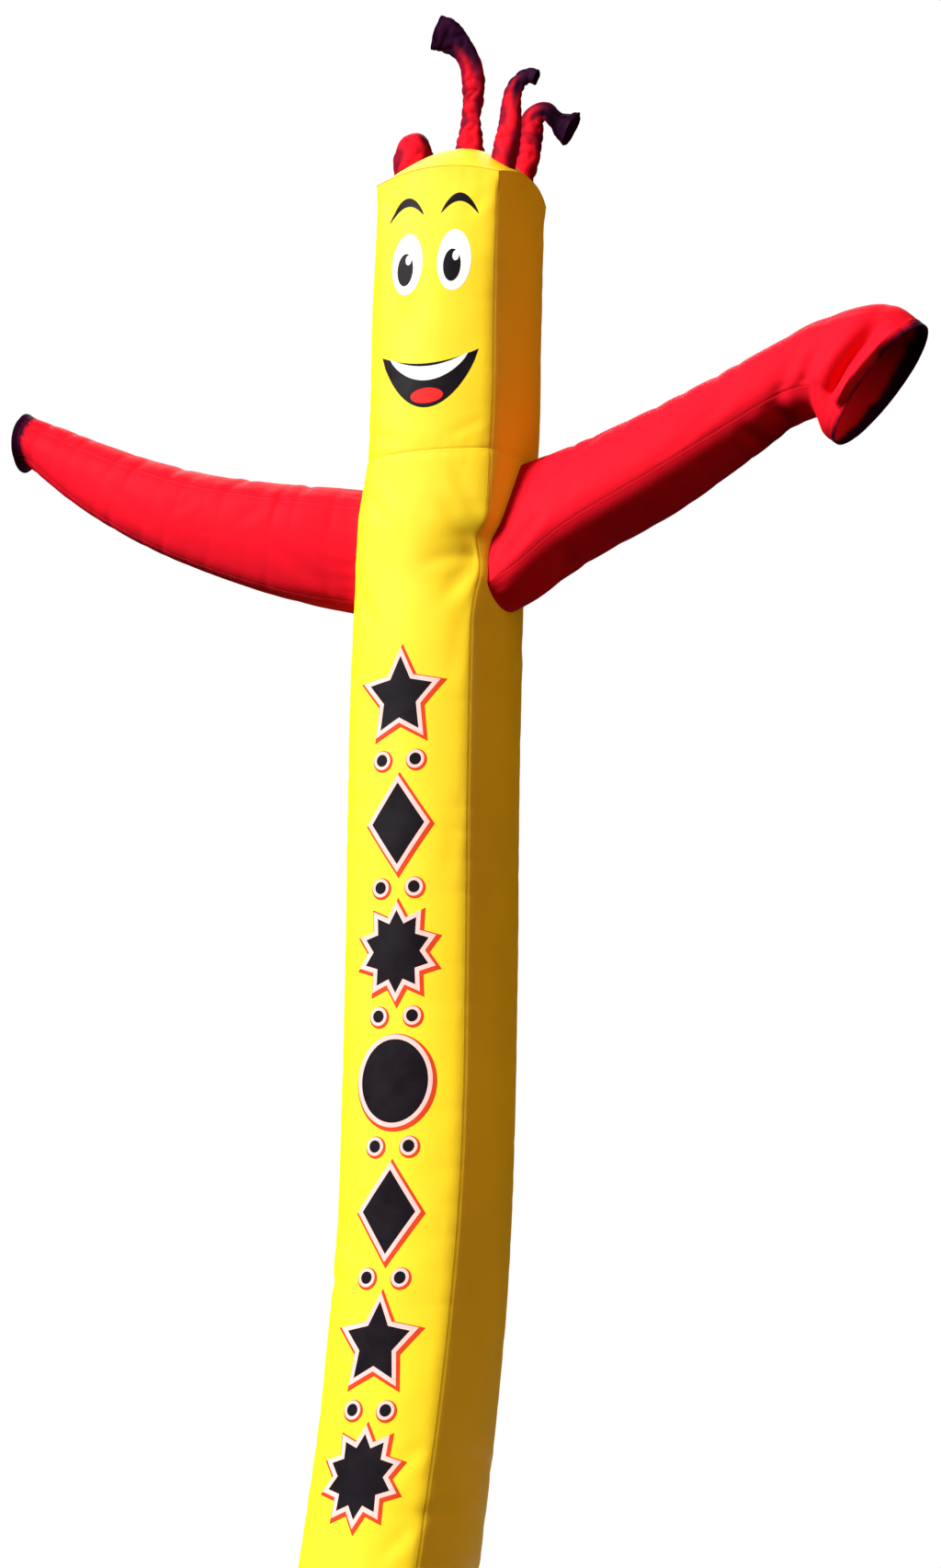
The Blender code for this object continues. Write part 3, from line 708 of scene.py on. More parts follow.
class Panel:
    """One panel of a square tube. Its rows run along the tube in metres, and u runs from -1 to 1 across."""

    def __init__(self, name, tube, face):
        number = list(FACES).index(face)
        self.name = name
        self.tube = tube
        self.face = face
        self.high_corner = number
        self.low_corner = (number - 1) % len(FACES)
        self.seed = 100 * number + 7 * len(name)

    def normal(self, along, u):
        """The outward normals of the smooth form."""
        step = 1e-3
        ahead = self.place(along + step, u, 0.0) - self.place(along - step, u, 0.0)
        aside = self.place(along, u + step, 0.0) - self.place(along, u - step, 0.0)
        normal = unit(np.cross(aside, ahead))
        out = self.place(along, u, 0.0) - self.place(along, u, CLOTH)
        return normal * np.sign(dot(normal, out))

    def sides(self, along, u):
        """For each side seam: its end of u, the number of its corner and the distance to it."""
        half = self.half_width(along)
        return (1, self.high_corner, (1 - u) * half), (-1, self.low_corner, (1 + u) * half)

    def tight_thread(self, along, corner):
        """Where the thread of a corner seam is pulled tight. Both panels of the corner share it."""
        return tight_places(along, SEAMS[self.tube].pitch, 31 * corner + len(self.tube))

    def pull(self, along, corner, distance):
        """How far the thread of a corner seam draws the cloth beside it in towards the tube's middle."""
        seams = SEAMS[self.tube]
        tight = seams.corner_depths[corner] * self.tight_thread(along, corner)
        for notch in NOTCHES[self.tube]:
            if notch.corner == corner:
                tight = tight + notch.depth * bell((along - notch.along) / notch.half_length)
        loose = self.loose_seam(along)
        rounding = seams.round_depth * loose * self.blunt_corner(along, corner)
        rounding = rounding * np.clip(1 - distance / seams.round_reach, 0, 1) ** 2
        groove = seams.groove * np.exp(-distance / GROOVE_REACH)
        return tight * loose * np.exp(-distance / PULL_REACH) + rounding + groove

    def blunt_corner(self, along, corner):
        """1 where a corner is round, and 0 where a crease keeps it sharp."""
        return 1.0

    def lean(self, along, corner, distance):
        """How far the cloth beside a corner seam is turned aside as a whole."""
        return np.zeros(3)

    def relief(self, along, u):
        """How far the panel's own folds stand out from its smooth form."""
        folds = bpy.context.scene.dancer_folds
        seams = SEAMS[self.tube]
        across = u * self.half_width(along)
        nearest = (1 - np.abs(u)) * self.half_width(along)
        swell = folds.swell_strength * seams.swell * gentle_swell(across, along, self.seed)
        relief = swell * ease(0.0, SWELL_START, nearest)
        for _, corner, distance in self.sides(along, u):
            depth = DRAG_SHARE * seams.corner_depths[corner] * self.loose_seam(along)
            fade = np.exp(-distance / DRAG_REACH) * ease(0.0, DRAG_START, distance)
            relief = relief - depth * self.tight_thread(along, corner) * fade
        relief = relief + folds.fold_strength * fold_relief(self.name, across, along)
        relief = relief * self.free_cloth(along, u) + self.end_work(along, u)
        return relief * ease(0.0, CALM_EDGE, nearest)

    def skins(self, along, u):
        """The outer and the inner skin's points, and the outward normals."""
        along, u = np.broadcast_arrays(np.asarray(along, float), np.asarray(u, float))
        normal = self.normal(along, u)
        middle = self.middle(along)
        shift = normal * self.relief(along, u)[..., None]
        for end, corner, distance in self.sides(along, u):
            inwards = unit(middle - self.place(along, np.full_like(u, end), 0.0))
            shift = shift + inwards * self.pull(along, corner, distance)[..., None]
            shift = shift + self.lean(along, corner, distance)
        outer = self.place(along, u, 0.0) + shift
        inner = self.place(along, u, CLOTH) + shift
        return outer, inner, normal


class FigurePanel(Panel):
    """A panel of the body or the head. Its rows are heights."""

    def __init__(self, part, face):
        super().__init__(f"{part}_{face}", "figure", face)
        self.root = None
        if part == "body":
            self.start, self.end = 0.0, NECK - SEAM_GAP / 2
            if face in SLEEVES:
                self.root = sleeve_seam_points(face)
        else:
            self.start, self.end = NECK + SEAM_GAP / 2, TOP_SEAM

    def place(self, along, u, inset):
        return figure_point(self.face, along, u, inset)

    def middle(self, along):
        return figure_middle(along)

    def half_width(self, along):
        level = figure_level(along)
        return (level.half_wide if FACES[self.face][0] == 0 else level.half_deep) - SEAM_GAP

    def loose_seam(self, along):
        """1 where the side seams may give, falling to 0 at the head's upper corners."""
        return ease(*FIRM_TOP, TOP_SEAM - along)

    def blunt_corner(self, along, corner):
        if corner != TURN_CORNER:
            return 1.0
        return 1 - bell((along - CREASE_HEIGHT) / SHARP_HALF_LENGTH)

    def lean(self, along, corner, distance):
        """Beside the crease under the right sleeve, the cloth turns back and out to the side."""
        if corner != TURN_CORNER:
            return np.zeros(3)
        turned = bell((along - TURN_HEIGHT) / TURN_HALF_LENGTH) * bell(distance / TURN_REACH[self.face])
        return turned[..., None] * np.array(TURN)

    def free_cloth(self, along, u):
        """1 over the open cloth and 0 where the panel has to meet another piece."""
        free = ease(*CALM_NECK, np.abs(along - NECK)) * ease(*CALM_TOP, TOP_SEAM - along)
        if self.root is not None:
            free = free * ease(*CALM_HOLE, self.root_distance(along, u)[0])
        return free

    def root_distance(self, along, u):
        """The distance to the sleeve's seam on this panel, and the place round that seam, from 0 to 1."""
        points = self.place(along, u, 0.0)
        best = np.full(points.shape[:-1], np.inf)
        round_seam = np.zeros_like(best)
        for i, corner in enumerate(self.root):
            distance = np.linalg.norm(points - corner, axis=-1)
            nearer = distance < best
            best = np.where(nearer, distance, best)
            round_seam = np.where(nearer, i / len(self.root), round_seam)
        return best, round_seam

    def end_work(self, along, u):
        """The hem, the groove of the neck seam with its puckers, and the gathers round a sleeve's root."""
        across = u * self.half_width(along)
        to_neck = np.abs(along - NECK)
        work = turned_hem(along, BASE_HEM_LIFT) - NECK_GROOVE * np.exp(-to_neck / NECK_GROOVE_REACH)
        work = work + gathers("neck", across, to_neck, self.high_corner)
        work = work + gathers("head_end", across, TOP_SEAM - along, self.high_corner)
        if self.root is not None:
            distance, round_seam = self.root_distance(along, u)
            work = work + gathers("sleeve_hole", round_seam, distance)
        return work


ROOT_PLACES = np.linspace(-1, 1, 81)  # across a sleeve's panel, where its seam with the body is worked out


@cache
def sleeve_root(side, face):
    """At each root place, the row of the sleeve's table where this panel leaves the body."""

    def height_off(row):
        return height_off_body(sleeve_point(SLEEVES[side], face, row, ROOT_PLACES), side)

    return crossing(height_off, ROOT_PLACES, HOLE_ROWS)


def sleeve_seam_points(side):
    """The loop on the body where the sleeve's four panels start, at every second root place."""
    loops = [sleeve_point(SLEEVES[side], face, sleeve_root(side, face), ROOT_PLACES) for face in FACES]
    return np.concatenate([loop[:-1:2] for loop in loops])


class SleevePanel(Panel):
    """A panel of a sleeve. Its rows are metres from the shoulder seam to the mouth."""

    def __init__(self, side, face):
        super().__init__(f"sleeve_{side}_{SLEEVE_PANELS[face]}", side, face)
        self.table = SLEEVES[side]
        self.rows = np.linspace(0, len(self.table) - 1, 801)
        self.lengths = run_lengths(sleeve_section(self.table, self.rows).middle)
        self.root = sleeve_root(side, face)
        self.root_row = float(np.mean([sleeve_root(side, each).mean() for each in FACES]))
        self.hidden = float(np.interp(self.root_row, self.rows, self.lengths))
        self.start, self.end = 0.0, self.lengths[-1] - self.hidden

    def middle_row(self, along):
        """The table's row for a distance from the shoulder along the sleeve's middle line."""
        return np.interp(along + self.hidden, self.lengths, self.rows)

    def table_row(self, along, u):
        """The table's row for a place on the sleeve. The first row lies right on the body."""
        root = np.interp(u, ROOT_PLACES, self.root)
        slack = np.clip(1 - along / self.end, 0, 1) ** 2
        return self.middle_row(along) + (root - self.root_row) * slack

    def place(self, along, u, inset):
        along, u = np.broadcast_arrays(along, u)
        return sleeve_point(self.table, self.face, self.table_row(along, u), u, inset)

    def middle(self, along):
        return sleeve_section(self.table, self.middle_row(along)).middle

    def half_width(self, along):
        axis = 0 if FACES[self.face][0] == 0 else 1
        return sleeve_section(self.table, self.middle_row(along)).halves[..., axis] - SEAM_GAP

    def loose_seam(self, along):
        """0 at the shoulder, 1 along the sleeve, and less again at the stiffer mouth."""
        stiff = MOUTH_STIFFNESS * ease(self.end - FIRM_MOUTH, self.end, along)
        return ease(0.0, FIRM_SHOULDER, along) * (1 - stiff)

    def free_cloth(self, along, u):
        return ease(*CALM_SHOULDER, along)

    def end_work(self, along, u):
        """The mouth's hem, and the gathers where the sleeve is sewn to the body."""
        across = u * self.half_width(along)
        to_mouth = self.end - along
        past_hem = np.maximum(to_mouth - HEM, 0.0)
        work = turned_hem(to_mouth, MOUTH_HEM_LIFT) + gathers("shoulder", across, along, self.high_corner)
        return work + gathers("mouth", across, past_hem, self.high_corner)


# ----------------------------------
# Meshes

SHARP_ANGLE = math.radians(50)  # edges bent further than this are shaded sharp
UV_MARGIN = 0.01


def link_object(name, data):
    """A new object for this data, in the scene."""
    thing = bpy.data.objects.new(name, data)
    bpy.context.scene.collection.objects.link(thing)
    return thing


def mesh_from(name, mesh):
    """Mesh data made from a bmesh, which is then freed."""
    data = bpy.data.meshes.new(name)
    mesh.to_mesh(data)
    mesh.free()
    return data


def spread_rows(start, end, step, extra=()):
    """Row positions at about this step, with closer ones added where a hem or seam needs them."""
    closest = 0.0007
    rows = np.linspace(start, end, max(2, round((end - start) / step) + 1))
    extra = [value for value in extra if start < value < end]
    rows = np.unique(np.round(np.concatenate((rows, extra)), 5))
    keep = np.concatenate(((True,), np.diff(rows) > closest))
    keep[-1] = True
    return rows[keep]


def spread_columns(count):
    """Places across a panel from -1 to 1, closer together at the seams."""
    even = np.linspace(-1, 1, count)
    return 0.45 * even + 0.55 * np.sin(even * math.pi / 2)


def corners_of(i, j, order):
    """Each quad's corners as (skin, row, column), from its first row and column and its order of corners."""
    return np.stack([np.stack((0 * i + skin, i + down, j + right), -1) for skin, down, right in order], 1)


def sheet_quads(rows, columns, closed):
    """The quads of both skins and of the rim, and which of their corners lie on the inner skin's map."""
    steps = columns if closed else columns - 1
    i, j = (index.ravel() for index in np.meshgrid(np.arange(rows - 1), np.arange(steps), indexing="ij"))
    ring = np.arange(steps)
    column = np.arange(rows - 1)
    quads = [
        corners_of(i, j, ((0, 0, 0), (0, 0, 1), (0, 1, 1), (0, 1, 0))),
        corners_of(i, j, ((1, 1, 0), (1, 1, 1), (1, 0, 1), (1, 0, 0))),
        corners_of(0 * ring, ring, ((0, 0, 1), (0, 0, 0), (1, 0, 0), (1, 0, 1))),
        corners_of(0 * ring + rows - 1, ring, ((0, 0, 0), (0, 0, 1), (1, 0, 1), (1, 0, 0))),
    ]
    if not closed:
        last = 0 * column + columns - 1
        quads.append(corners_of(column, 0 * column, ((0, 0, 0), (0, 1, 0), (1, 1, 0), (1, 0, 0))))
        quads.append(corners_of(column, last, ((0, 1, 0), (0, 0, 0), (1, 0, 0), (1, 1, 0))))
    quads = np.concatenate(quads)
    # The rim takes the outer skin's place on the UV map, so that it lies over nothing else there.
    inside = np.zeros(len(quads), bool)
    inside[len(i) : 2 * len(i)] = True
    return quads, np.repeat(inside[:, None], 4, axis=1)


def add_uv(data, name, values):
    """A UV layer with these values for the corners of the faces."""
    layer = data.uv_layers.new(name=name)
    layer.uv.foreach_set("vector", values.astype(np.float32).ravel())


def make_sheet(name, skins, across, along, material, closed=False, dark=None):
    """A closed sheet between its outer and inner skin, which are grids of points.

    UVMap lays the outer skin in the left half of the unit square and the inner one in the right half. Cloth
    holds the metres across and along. An attribute from 0 to 1 says where painted shade darkens the cloth.
    """
    rows, columns = skins[0].shape[:2]
    quads, inside = sheet_quads(rows, columns, closed)
    skin, row, place = quads[..., 0], quads[..., 1], quads[..., 2]
    vertices = skin * rows * columns + row * columns + place % columns

    data = bpy.data.meshes.new(name)
    points = np.concatenate([grid.reshape(-1, 3) for grid in skins])
    data.from_pydata(points.tolist(), [], vertices.tolist())
    wide = (across - across.min()) / (across.max() - across.min())
    tall = (along - along.min()) / (along.max() - along.min())
    flat_u = UV_MARGIN + (0.5 - 2 * UV_MARGIN) * wide[row, place] + 0.5 * inside
    flat_v = UV_MARGIN + (1 - 2 * UV_MARGIN) * tall[row, place]
    add_uv(data, "UVMap", np.stack((flat_u, flat_v), axis=-1))
    add_uv(data, "Cloth", np.stack((across[row, place], along[row, place]), axis=-1))
    if dark is not None:
        attribute = data.attributes.new("dark", "FLOAT", "POINT")
        attribute.data.foreach_set("value", np.tile(dark.ravel(), 2).astype(np.float32))
    data.uv_layers["UVMap"].active_render = True
    return add_piece(name, data, material)


def add_piece(name, data, material):
    """Puts the mesh in the scene with its faces pointing out and its edges sharp only where they are."""
    mesh = bmesh.new()
    mesh.from_mesh(data)
    if mesh.calc_volume(signed=True) < 0:
        bmesh.ops.reverse_faces(mesh, faces=mesh.faces)
    mesh.to_mesh(data)
    mesh.free()
    data.shade_smooth()
    data.set_sharp_from_angle(angle=SHARP_ANGLE)
    data.materials.append(material)
    return link_object(name, data)


def cut_hole(thing, ring_grid):
    """Cuts the closed form through these rings of points out of the piece."""
    mesh = bmesh.new()
    loops = [[mesh.verts.new(point) for point in ring] for ring in ring_grid]
    for low, high in zip(loops, loops[1:]):
        for j, corner in enumerate(low):
            k = (j + 1) % len(low)
            mesh.faces.new((corner, low[k], high[k], high[j]))
    mesh.faces.new(loops[0])
    mesh.faces.new(loops[-1])
    bmesh.ops.triangulate(mesh, faces=mesh.faces)
    bmesh.ops.recalc_face_normals(mesh, faces=mesh.faces)
    form = link_object("hole_form", mesh_from("hole_form", mesh))
    modifier = thing.modifiers.new("Hole", "BOOLEAN")
    modifier.operation = "DIFFERENCE"
    modifier.solver = "EXACT"
    modifier.object = form
    bpy.context.view_layer.update()
    before = len(thing.data.vertices)
    evaluated = thing.evaluated_get(bpy.context.evaluated_depsgraph_get())
    cut = bpy.data.meshes.new_from_object(evaluated)
    thing.modifiers.clear()
    thing.data = cut
    cut.set_sharp_from_angle(angle=SHARP_ANGLE)
    bpy.data.objects.remove(form, do_unlink=True)
    if len(cut.vertices) == before:
        raise RuntimeError(f"no hole was cut in {thing.name}")


def grid_lengths(grid):
    """Metres over the cloth from a grid's first column, and from its first row."""
    across = np.linalg.norm(np.diff(grid, axis=1), axis=-1)
    along = np.linalg.norm(np.diff(grid, axis=0), axis=-1)
    across = np.concatenate((np.zeros((len(grid), 1)), np.cumsum(across, axis=1)), axis=1)
    along = np.concatenate((np.zeros((1, grid.shape[1])), np.cumsum(along, axis=0)), axis=0)
    return across, along


def cloth_area(thing):
    """The area of one side of a sheet, which has two."""
    return sum(face.area for face in thing.data.polygons) / 2


def dress(thing, node, grid, closed=False):
    """Puts a sheet in its node's place: hides the node's solid, hangs the sheet on the body and works out
    the flat piece's size, which nothing uses.
    """
    if closed:
        grid = np.concatenate((grid, grid[:, :1]), axis=1)
    across, along = grid_lengths(grid)
    width = math.ceil(1000 * across[:, -1].max()) / 1000
    length = math.ceil(1000 * along[-1].max()) / 1000
    area = round(min(cloth_area(thing), width * length), 4)
    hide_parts(node)
    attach(thing, BODY)


# ----------------------------------
# Materials

YELLOW_SPECULAR = 0.20
RED_SPECULAR = 0.015
INK_SPECULAR = 0.04
THREAD_COLOURS = {"yellow": (0.80, 0.52, 0.02), "red": (0.42, 0.004, 0.014)}
CRINKLES = (55.0, 4.0)  # the fine crinkle's patches for each metre, and its octaves


def opaque(colour):
    """The colour with its alpha."""
    return (*colour, 1.0)


def fill_socket(tree, socket, value):
    """Links a socket to another's output, or sets its own value."""
    if isinstance(value, bpy.types.NodeSocket):
        tree.links.new(value, socket)
    else:
        socket.default_value = value


def add_node(tree, kind, inputs=None, **settings):
    """A node with these settings, and these sockets linked or set."""
    node = tree.nodes.new(kind)
    for name, value in settings.items():
        setattr(node, name, value)
    for name, value in (inputs or {}).items():
        fill_socket(tree, node.inputs[name], value)
    return node


def map_range(tree, value, low, high, to_low, to_high):
    """The value moved from one range to another, and kept inside it."""
    inputs = {"Value": value, "From Min": low, "From Max": high, "To Min": to_low, "To Max": to_high}
    return add_node(tree, "ShaderNodeMapRange", inputs).outputs["Result"]


def mix_colour(tree, factor, a, b, blend="MIX"):
    """The two colours mixed. A colour mix has its sockets at these places among those of all data types."""
    node = add_node(tree, "ShaderNodeMix", data_type="RGBA", blend_type=blend)
    for index, value in ((0, factor), (6, a), (7, b)):
        fill_socket(tree, node.inputs[index], value)
    return node.outputs[2]


def object_place(tree):
    """The place on the piece, in metres."""
    return add_node(tree, "ShaderNodeTexCoord").outputs["Object"]


def noise(tree, place, scale, detail, **more):
    """Cloudy unevenness around 0.5, with this many patches for each metre."""
    inputs = {"Vector": place, "Scale": scale, "Detail": detail, **more}
    return add_node(tree, "ShaderNodeTexNoise", inputs).outputs["Fac"]


def new_material(name, colour, roughness, sheen=0.0, specular=0.2):
    """A material with the sheen and other constants on its shader's own sockets."""
    material = bpy.data.materials.new(name)
    material.use_nodes = True
    shader = material.node_tree.nodes["Principled BSDF"]
    for socket, value in (
        ("Base Color", opaque(colour)),
        ("Roughness", roughness),
        ("Metallic", 0.0),
        ("Specular IOR Level", specular),
        ("Sheen Weight", sheen),
        ("Sheen Roughness", 0.45),
        ("Sheen Tint", opaque(colour)),
    ):
        shader.inputs[socket].default_value = value
    material.diffuse_color = opaque(colour)
    return material, material.node_tree, shader


def add_bumps(tree, shader, layers):
    """Stacks bump layers, each a height socket with its strength and the depth of its relief in metres."""
    normal = None
    for height, strength, distance in layers:
        inputs = {"Height": height, "Strength": strength, "Distance": distance}
        if normal is not None:
            inputs["Normal"] = normal
        normal = add_node(tree, "ShaderNodeBump", inputs).outputs["Normal"]
    tree.links.new(normal, shader.inputs["Normal"])


def ripstop_threads(tree, cloth, pitch):
    """1 on the thicker threads of the square ripstop grid, which run along and across the cloth."""
    bands_scale = 2 * math.pi / (20 * pitch)
    both = add_node(tree, "ShaderNodeMath", operation="MAXIMUM")
    for socket, direction in zip(both.inputs, ("X", "Y")):
        inputs = {"Vector": cloth, "Scale": bands_scale, "Distortion": 0.0}
        wave = add_node(tree, "ShaderNodeTexWave", inputs, wave_type="BANDS", bands_direction=direction)
        tree.links.new(map_range(tree, wave.outputs["Fac"], 0.90, 0.99, 0.0, 1.0), socket)
    return both.outputs[0]


def nylon(name, colour, specular):
    """Coated ripstop nylon: a square thread grid, crinkle, softer creases, uneven dye and a slight sheen,
    with painted shade mixed in where the mesh asks for it.
    """
    look = bpy.context.scene.dancer_cloth
    material, tree, shader = new_material(name, colour, look.roughness, look.sheen, specular)
    cloth = add_node(tree, "ShaderNodeUVMap", uv_map="Cloth").outputs["UV"]
    place = object_place(tree)
    threads = ripstop_threads(tree, cloth, look.ripstop_pitch)
    crinkle = noise(tree, place, *CRINKLES)
    upright = add_node(tree, "ShaderNodeMapping", {"Vector": place, "Scale": (1.0, 1.0, 0.45)}).outputs[0]
    creases = noise(tree, upright, 9.0, 3.0, Roughness=0.45, Distortion=0.8)
    cloudy = noise(tree, place, 2.4, 2.0)

    shade = map_range(tree, cloudy, 0.3, 0.7, 0.93, 1.04)
    shade_colour = add_node(tree, "ShaderNodeCombineColor", {"Red": shade, "Green": shade, "Blue": shade})
    dyed = mix_colour(tree, 1.0, opaque(colour), shade_colour.outputs["Color"], "MULTIPLY")
    thread_colour = tuple(channel * 0.86 for channel in colour)
    woven = mix_colour(tree, map_range(tree, threads, 0.0, 1.0, 0.0, 0.35), dyed, opaque(thread_colour))
    # Painted shade: a mesh attribute from 0 to 1 darkens the colour towards the painted shade colour.
    dark = add_node(tree, "ShaderNodeAttribute", attribute_type="GEOMETRY", attribute_name="dark")
    end_shaded = mix_colour(tree, dark.outputs["Fac"], woven, opaque(look.dark))
    tree.links.new(end_shaded, shader.inputs["Base Color"])

    gloss = map_range(tree, creases, 0.35, 0.65, look.roughness - 0.06, look.roughness + 0.07)
    tree.links.new(gloss, shader.inputs["Roughness"])
    bumps = ((creases, look.crinkle, 0.006), (crinkle, look.crinkle, 0.0012), (threads, 0.35, 0.0003))
    add_bumps(tree, shader, bumps)
    return material


def ink(name, colour):
    """Printed ink: a thin film over the cloth, a little patchy, through which the crinkle shows."""
    material, tree, shader = new_material(name, colour, 0.50, specular=INK_SPECULAR)
    place = object_place(tree)
    patches = noise(tree, place, 14.0, 5.0)
    crinkle = noise(tree, place, *CRINKLES)
    worn = tuple(min(1.0, channel * 1.25 + 0.004) for channel in colour)
    amount = map_range(tree, patches, 0.35, 0.75, 0.0, 0.6)
    tree.links.new(mix_colour(tree, amount, opaque(colour), opaque(worn)), shader.inputs["Base Color"])
    tree.links.new(map_range(tree, patches, 0.3, 0.7, 0.36, 0.5), shader.inputs["Roughness"])
    add_bumps(tree, shader, ((crinkle, bpy.context.scene.dancer_cloth.crinkle, 0.001),))
    return material


def thread(name, colour):
    """Polyester sewing thread, twisted."""
    material, tree, shader = new_material(name, colour, 0.5, 0.3)
    inputs = {"Vector": object_place(tree), "Scale": 380.0, "Distortion": 0.4}
    twist = add_node(tree, "ShaderNodeTexWave", inputs, bands_direction="DIAGONAL").outputs["Fac"]
    light = tuple(min(1.0, channel * 1.15) for channel in colour)
    tree.links.new(mix_colour(tree, twist, opaque(colour), opaque(light)), shader.inputs["Base Color"])
    add_bumps(tree, shader, ((twist, 0.4, 0.0003),))
    return material


@cache
def material_named(name):
    """The material of this name, made on first use."""
    cloth = bpy.context.scene.dancer_cloth
    prints = bpy.context.scene.dancer_print
    maker, colour, *finish = {
        "cloth_yellow": (nylon, cloth.yellow, YELLOW_SPECULAR),
        "cloth_red": (nylon, cloth.red, RED_SPECULAR),
        "ink_black": (ink, prints.black),
        "ink_pale": (ink, prints.pale),
        "ink_white": (ink, prints.white),
        "ink_red": (ink, prints.rim),
        "ink_tongue": (ink, prints.tongue),
        "thread_yellow": (thread, THREAD_COLOURS["yellow"]),
        "thread_red": (thread, THREAD_COLOURS["red"]),
    }[name]
    return maker(name, tuple(colour), *finish)


# ----------------------------------
# Pieces of cloth

FIGURE_COLUMNS = 41
SLEEVE_COLUMNS = 33
TOP_COLUMNS = 61
SLEEVE_ROW_SHARE = 0.8  # of the body's step between rows
CLOSE_ROWS = (0.002, 0.005, 0.009, 0.015)  # distances from a seam at which rows are added
HEM_ROWS = (-0.002, 0.0, 0.002)  # and distances from a hem's stitched edge
END_ROW = 0.004  # and from a free end
SLEEVE_HOLE_INSET = 0.006  # the seam allowance by which a hole is smaller than what is sewn over it
HAIR_HOLE_INSET = 0.003
TOP_SWELL = 0.0016  # the unevenness of the top panel, and how far from its edge it comes up
TOP_SWELL_START = (0.01, 0.08)
TOP_CALM_EDGE = 0.015


@cache
def panel_of(name):
    """The panel of this name, worked out on first use."""
    part, side_or_face, *title = name.split("_")
    if part != "sleeve":
        return FigurePanel(part, side_or_face)
    face = next(face for face in FACES if [SLEEVE_PANELS[face]] == title)
    return SleevePanel(side_or_face, face)


def make_panel(name, rows, columns, material, shaded_sleeve_side=None):
    """Builds one panel's sheet and returns it with its outer skin."""
    panel = panel_of(name)
    along, u = np.meshgrid(rows, spread_columns(columns), indexing="ij")
    outer, inner, _ = panel.skins(along, u)
    across = u * panel.half_width(along)
    # Sleeves get painted shade at their open ends.
    dark = paint_sleeve_end_shade(shaded_sleeve_side, panel, along, u) if shaded_sleeve_side else None
    return make_sheet(name + "_cloth", (outer, inner), across, along, material, dark=dark), outer


def seam_rows(*seams):
    """Extra rows close to these seams, for their grooves and puckers."""
    return [seam + side * offset for seam in seams for side in (-1, 1) for offset in CLOSE_ROWS]


def make_figure_panels(part):
    """The four panels of the body or the head."""
    panel = panel_of(f"{part}_front")
    extra = seam_rows(NECK, TOP_SEAM) + [END_ROW] + [HEM + offset for offset in HEM_ROWS]
    rows = spread_rows(panel.start, panel.end, bpy.context.scene.dancer_folds.row_step, extra)
    for face in FACES:
        name = f"{part}_{face}"
        thing, grid = make_panel(name, rows, FIGURE_COLUMNS, material_named("cloth_yellow"))
        if part == "body" and face in SLEEVES:
            cut_sleeve_hole(thing, face)
        dress(thing, name, grid)


def cut_sleeve_hole(thing, side):
    """The hole under a sleeve, a seam allowance smaller than the sleeve itself."""
    rows = np.linspace(0.3, HOLE_ROWS, 16)[:, None]
    places = spread_columns(25)[None, :-1]
    inset = CLOTH + SLEEVE_HOLE_INSET
    sides = [sleeve_point(SLEEVES[side], face, rows, places, inset, 0.0) for face in FACES]
    cut_hole(thing, np.concatenate(sides, axis=1))


def make_top_panel():
    """The puffed square that closes the head, with gathers along its seam and round the hair tubes."""
    places = spread_columns(TOP_COLUMNS)
    v, u = np.meshgrid(places, places, indexing="ij")
    half = FIGURE[-1].half_wide
    edge = half * (1 - np.maximum(np.abs(u), np.abs(v)))
    normal = top_normal(u, v)
    relief = TOP_SWELL * gentle_swell(u * half, v * half, 611) * ease(*TOP_SWELL_START, edge)
    for kind, along, aside in (("top_front_back", u, v), ("top_left_right", v, u)):
        to_seam = half * (1 - np.abs(aside))
        relief = relief + gathers(kind, along * half, to_seam, clear=edge)
    points = top_point(u, v)
    for name in HAIR:
        foot, size = hair_foot(name)
        offset = points - foot
        distance = np.linalg.norm(offset, axis=-1) - size
        share_round = np.arctan2(offset[..., 1], offset[..., 0]) / (2 * math.pi)
        relief = relief + gathers("hair_hole", share_round, distance, len(name))
    under = points + normal * (relief * ease(0.0, TOP_CALM_EDGE, edge))[..., None]
    upper = under + normal * CLOTH
    thing = make_sheet("head_top_cloth", (upper, under), u * half, v * half, material_named("cloth_yellow"))
    rows = np.linspace(0.2, HAIR_HOLE_ROWS, 14)[:, None]
    for name in HAIR:
        cut_hole(thing, hair_point(name, rows, angles_round(48)[None, :], CLOTH + HAIR_HOLE_INSET))
    dress(thing, "head_top", upper)


# How far the painted shade reaches from a mouth at the corners: front top, back top, back low and front low.
END_SHADE_REACH = {"right": (0.010, 0.045, 0.045, 0.002), "left": (0.034, 0.036, 0.036, 0.034)}
END_SHADE_FADE = (-0.010, 0.014)  # where the painted shade starts to fade and where it ends, against that
END_SHADE_WANDER = 0.004  # how uneven that edge is


def paint_sleeve_end_shade(side, panel, along, u):
    """Painted shade at a sleeve's open end, as shares of full darkening over one of its panels."""
    widths = END_SHADE_REACH[side]
    width = widths[panel.low_corner] * (1 - u) / 2 + widths[panel.high_corner] * (1 + u) / 2
    to_mouth = panel.end - along + END_SHADE_WANDER * wander(u * 0.15, 701, 0.05, 0.2)
    return 1 - ease(width + END_SHADE_FADE[0], width + END_SHADE_FADE[1], to_mouth)


def make_sleeve(side):
    """The four panels of a sleeve."""
    row_step = bpy.context.scene.dancer_folds.row_step * SLEEVE_ROW_SHARE
    for title in SLEEVE_PANELS.values():
        name = f"sleeve_{side}_{title}"
        panel = panel_of(name)
        extra = seam_rows(0.0) + [panel.end - HEM + offset for offset in HEM_ROWS] + [panel.end - END_ROW]
        rows = spread_rows(panel.start, panel.end, row_step, extra)
        thing, grid = make_panel(name, rows, SLEEVE_COLUMNS, material_named("cloth_red"), side)
        dress(thing, name, grid)


# ----------------------------------
# Hair

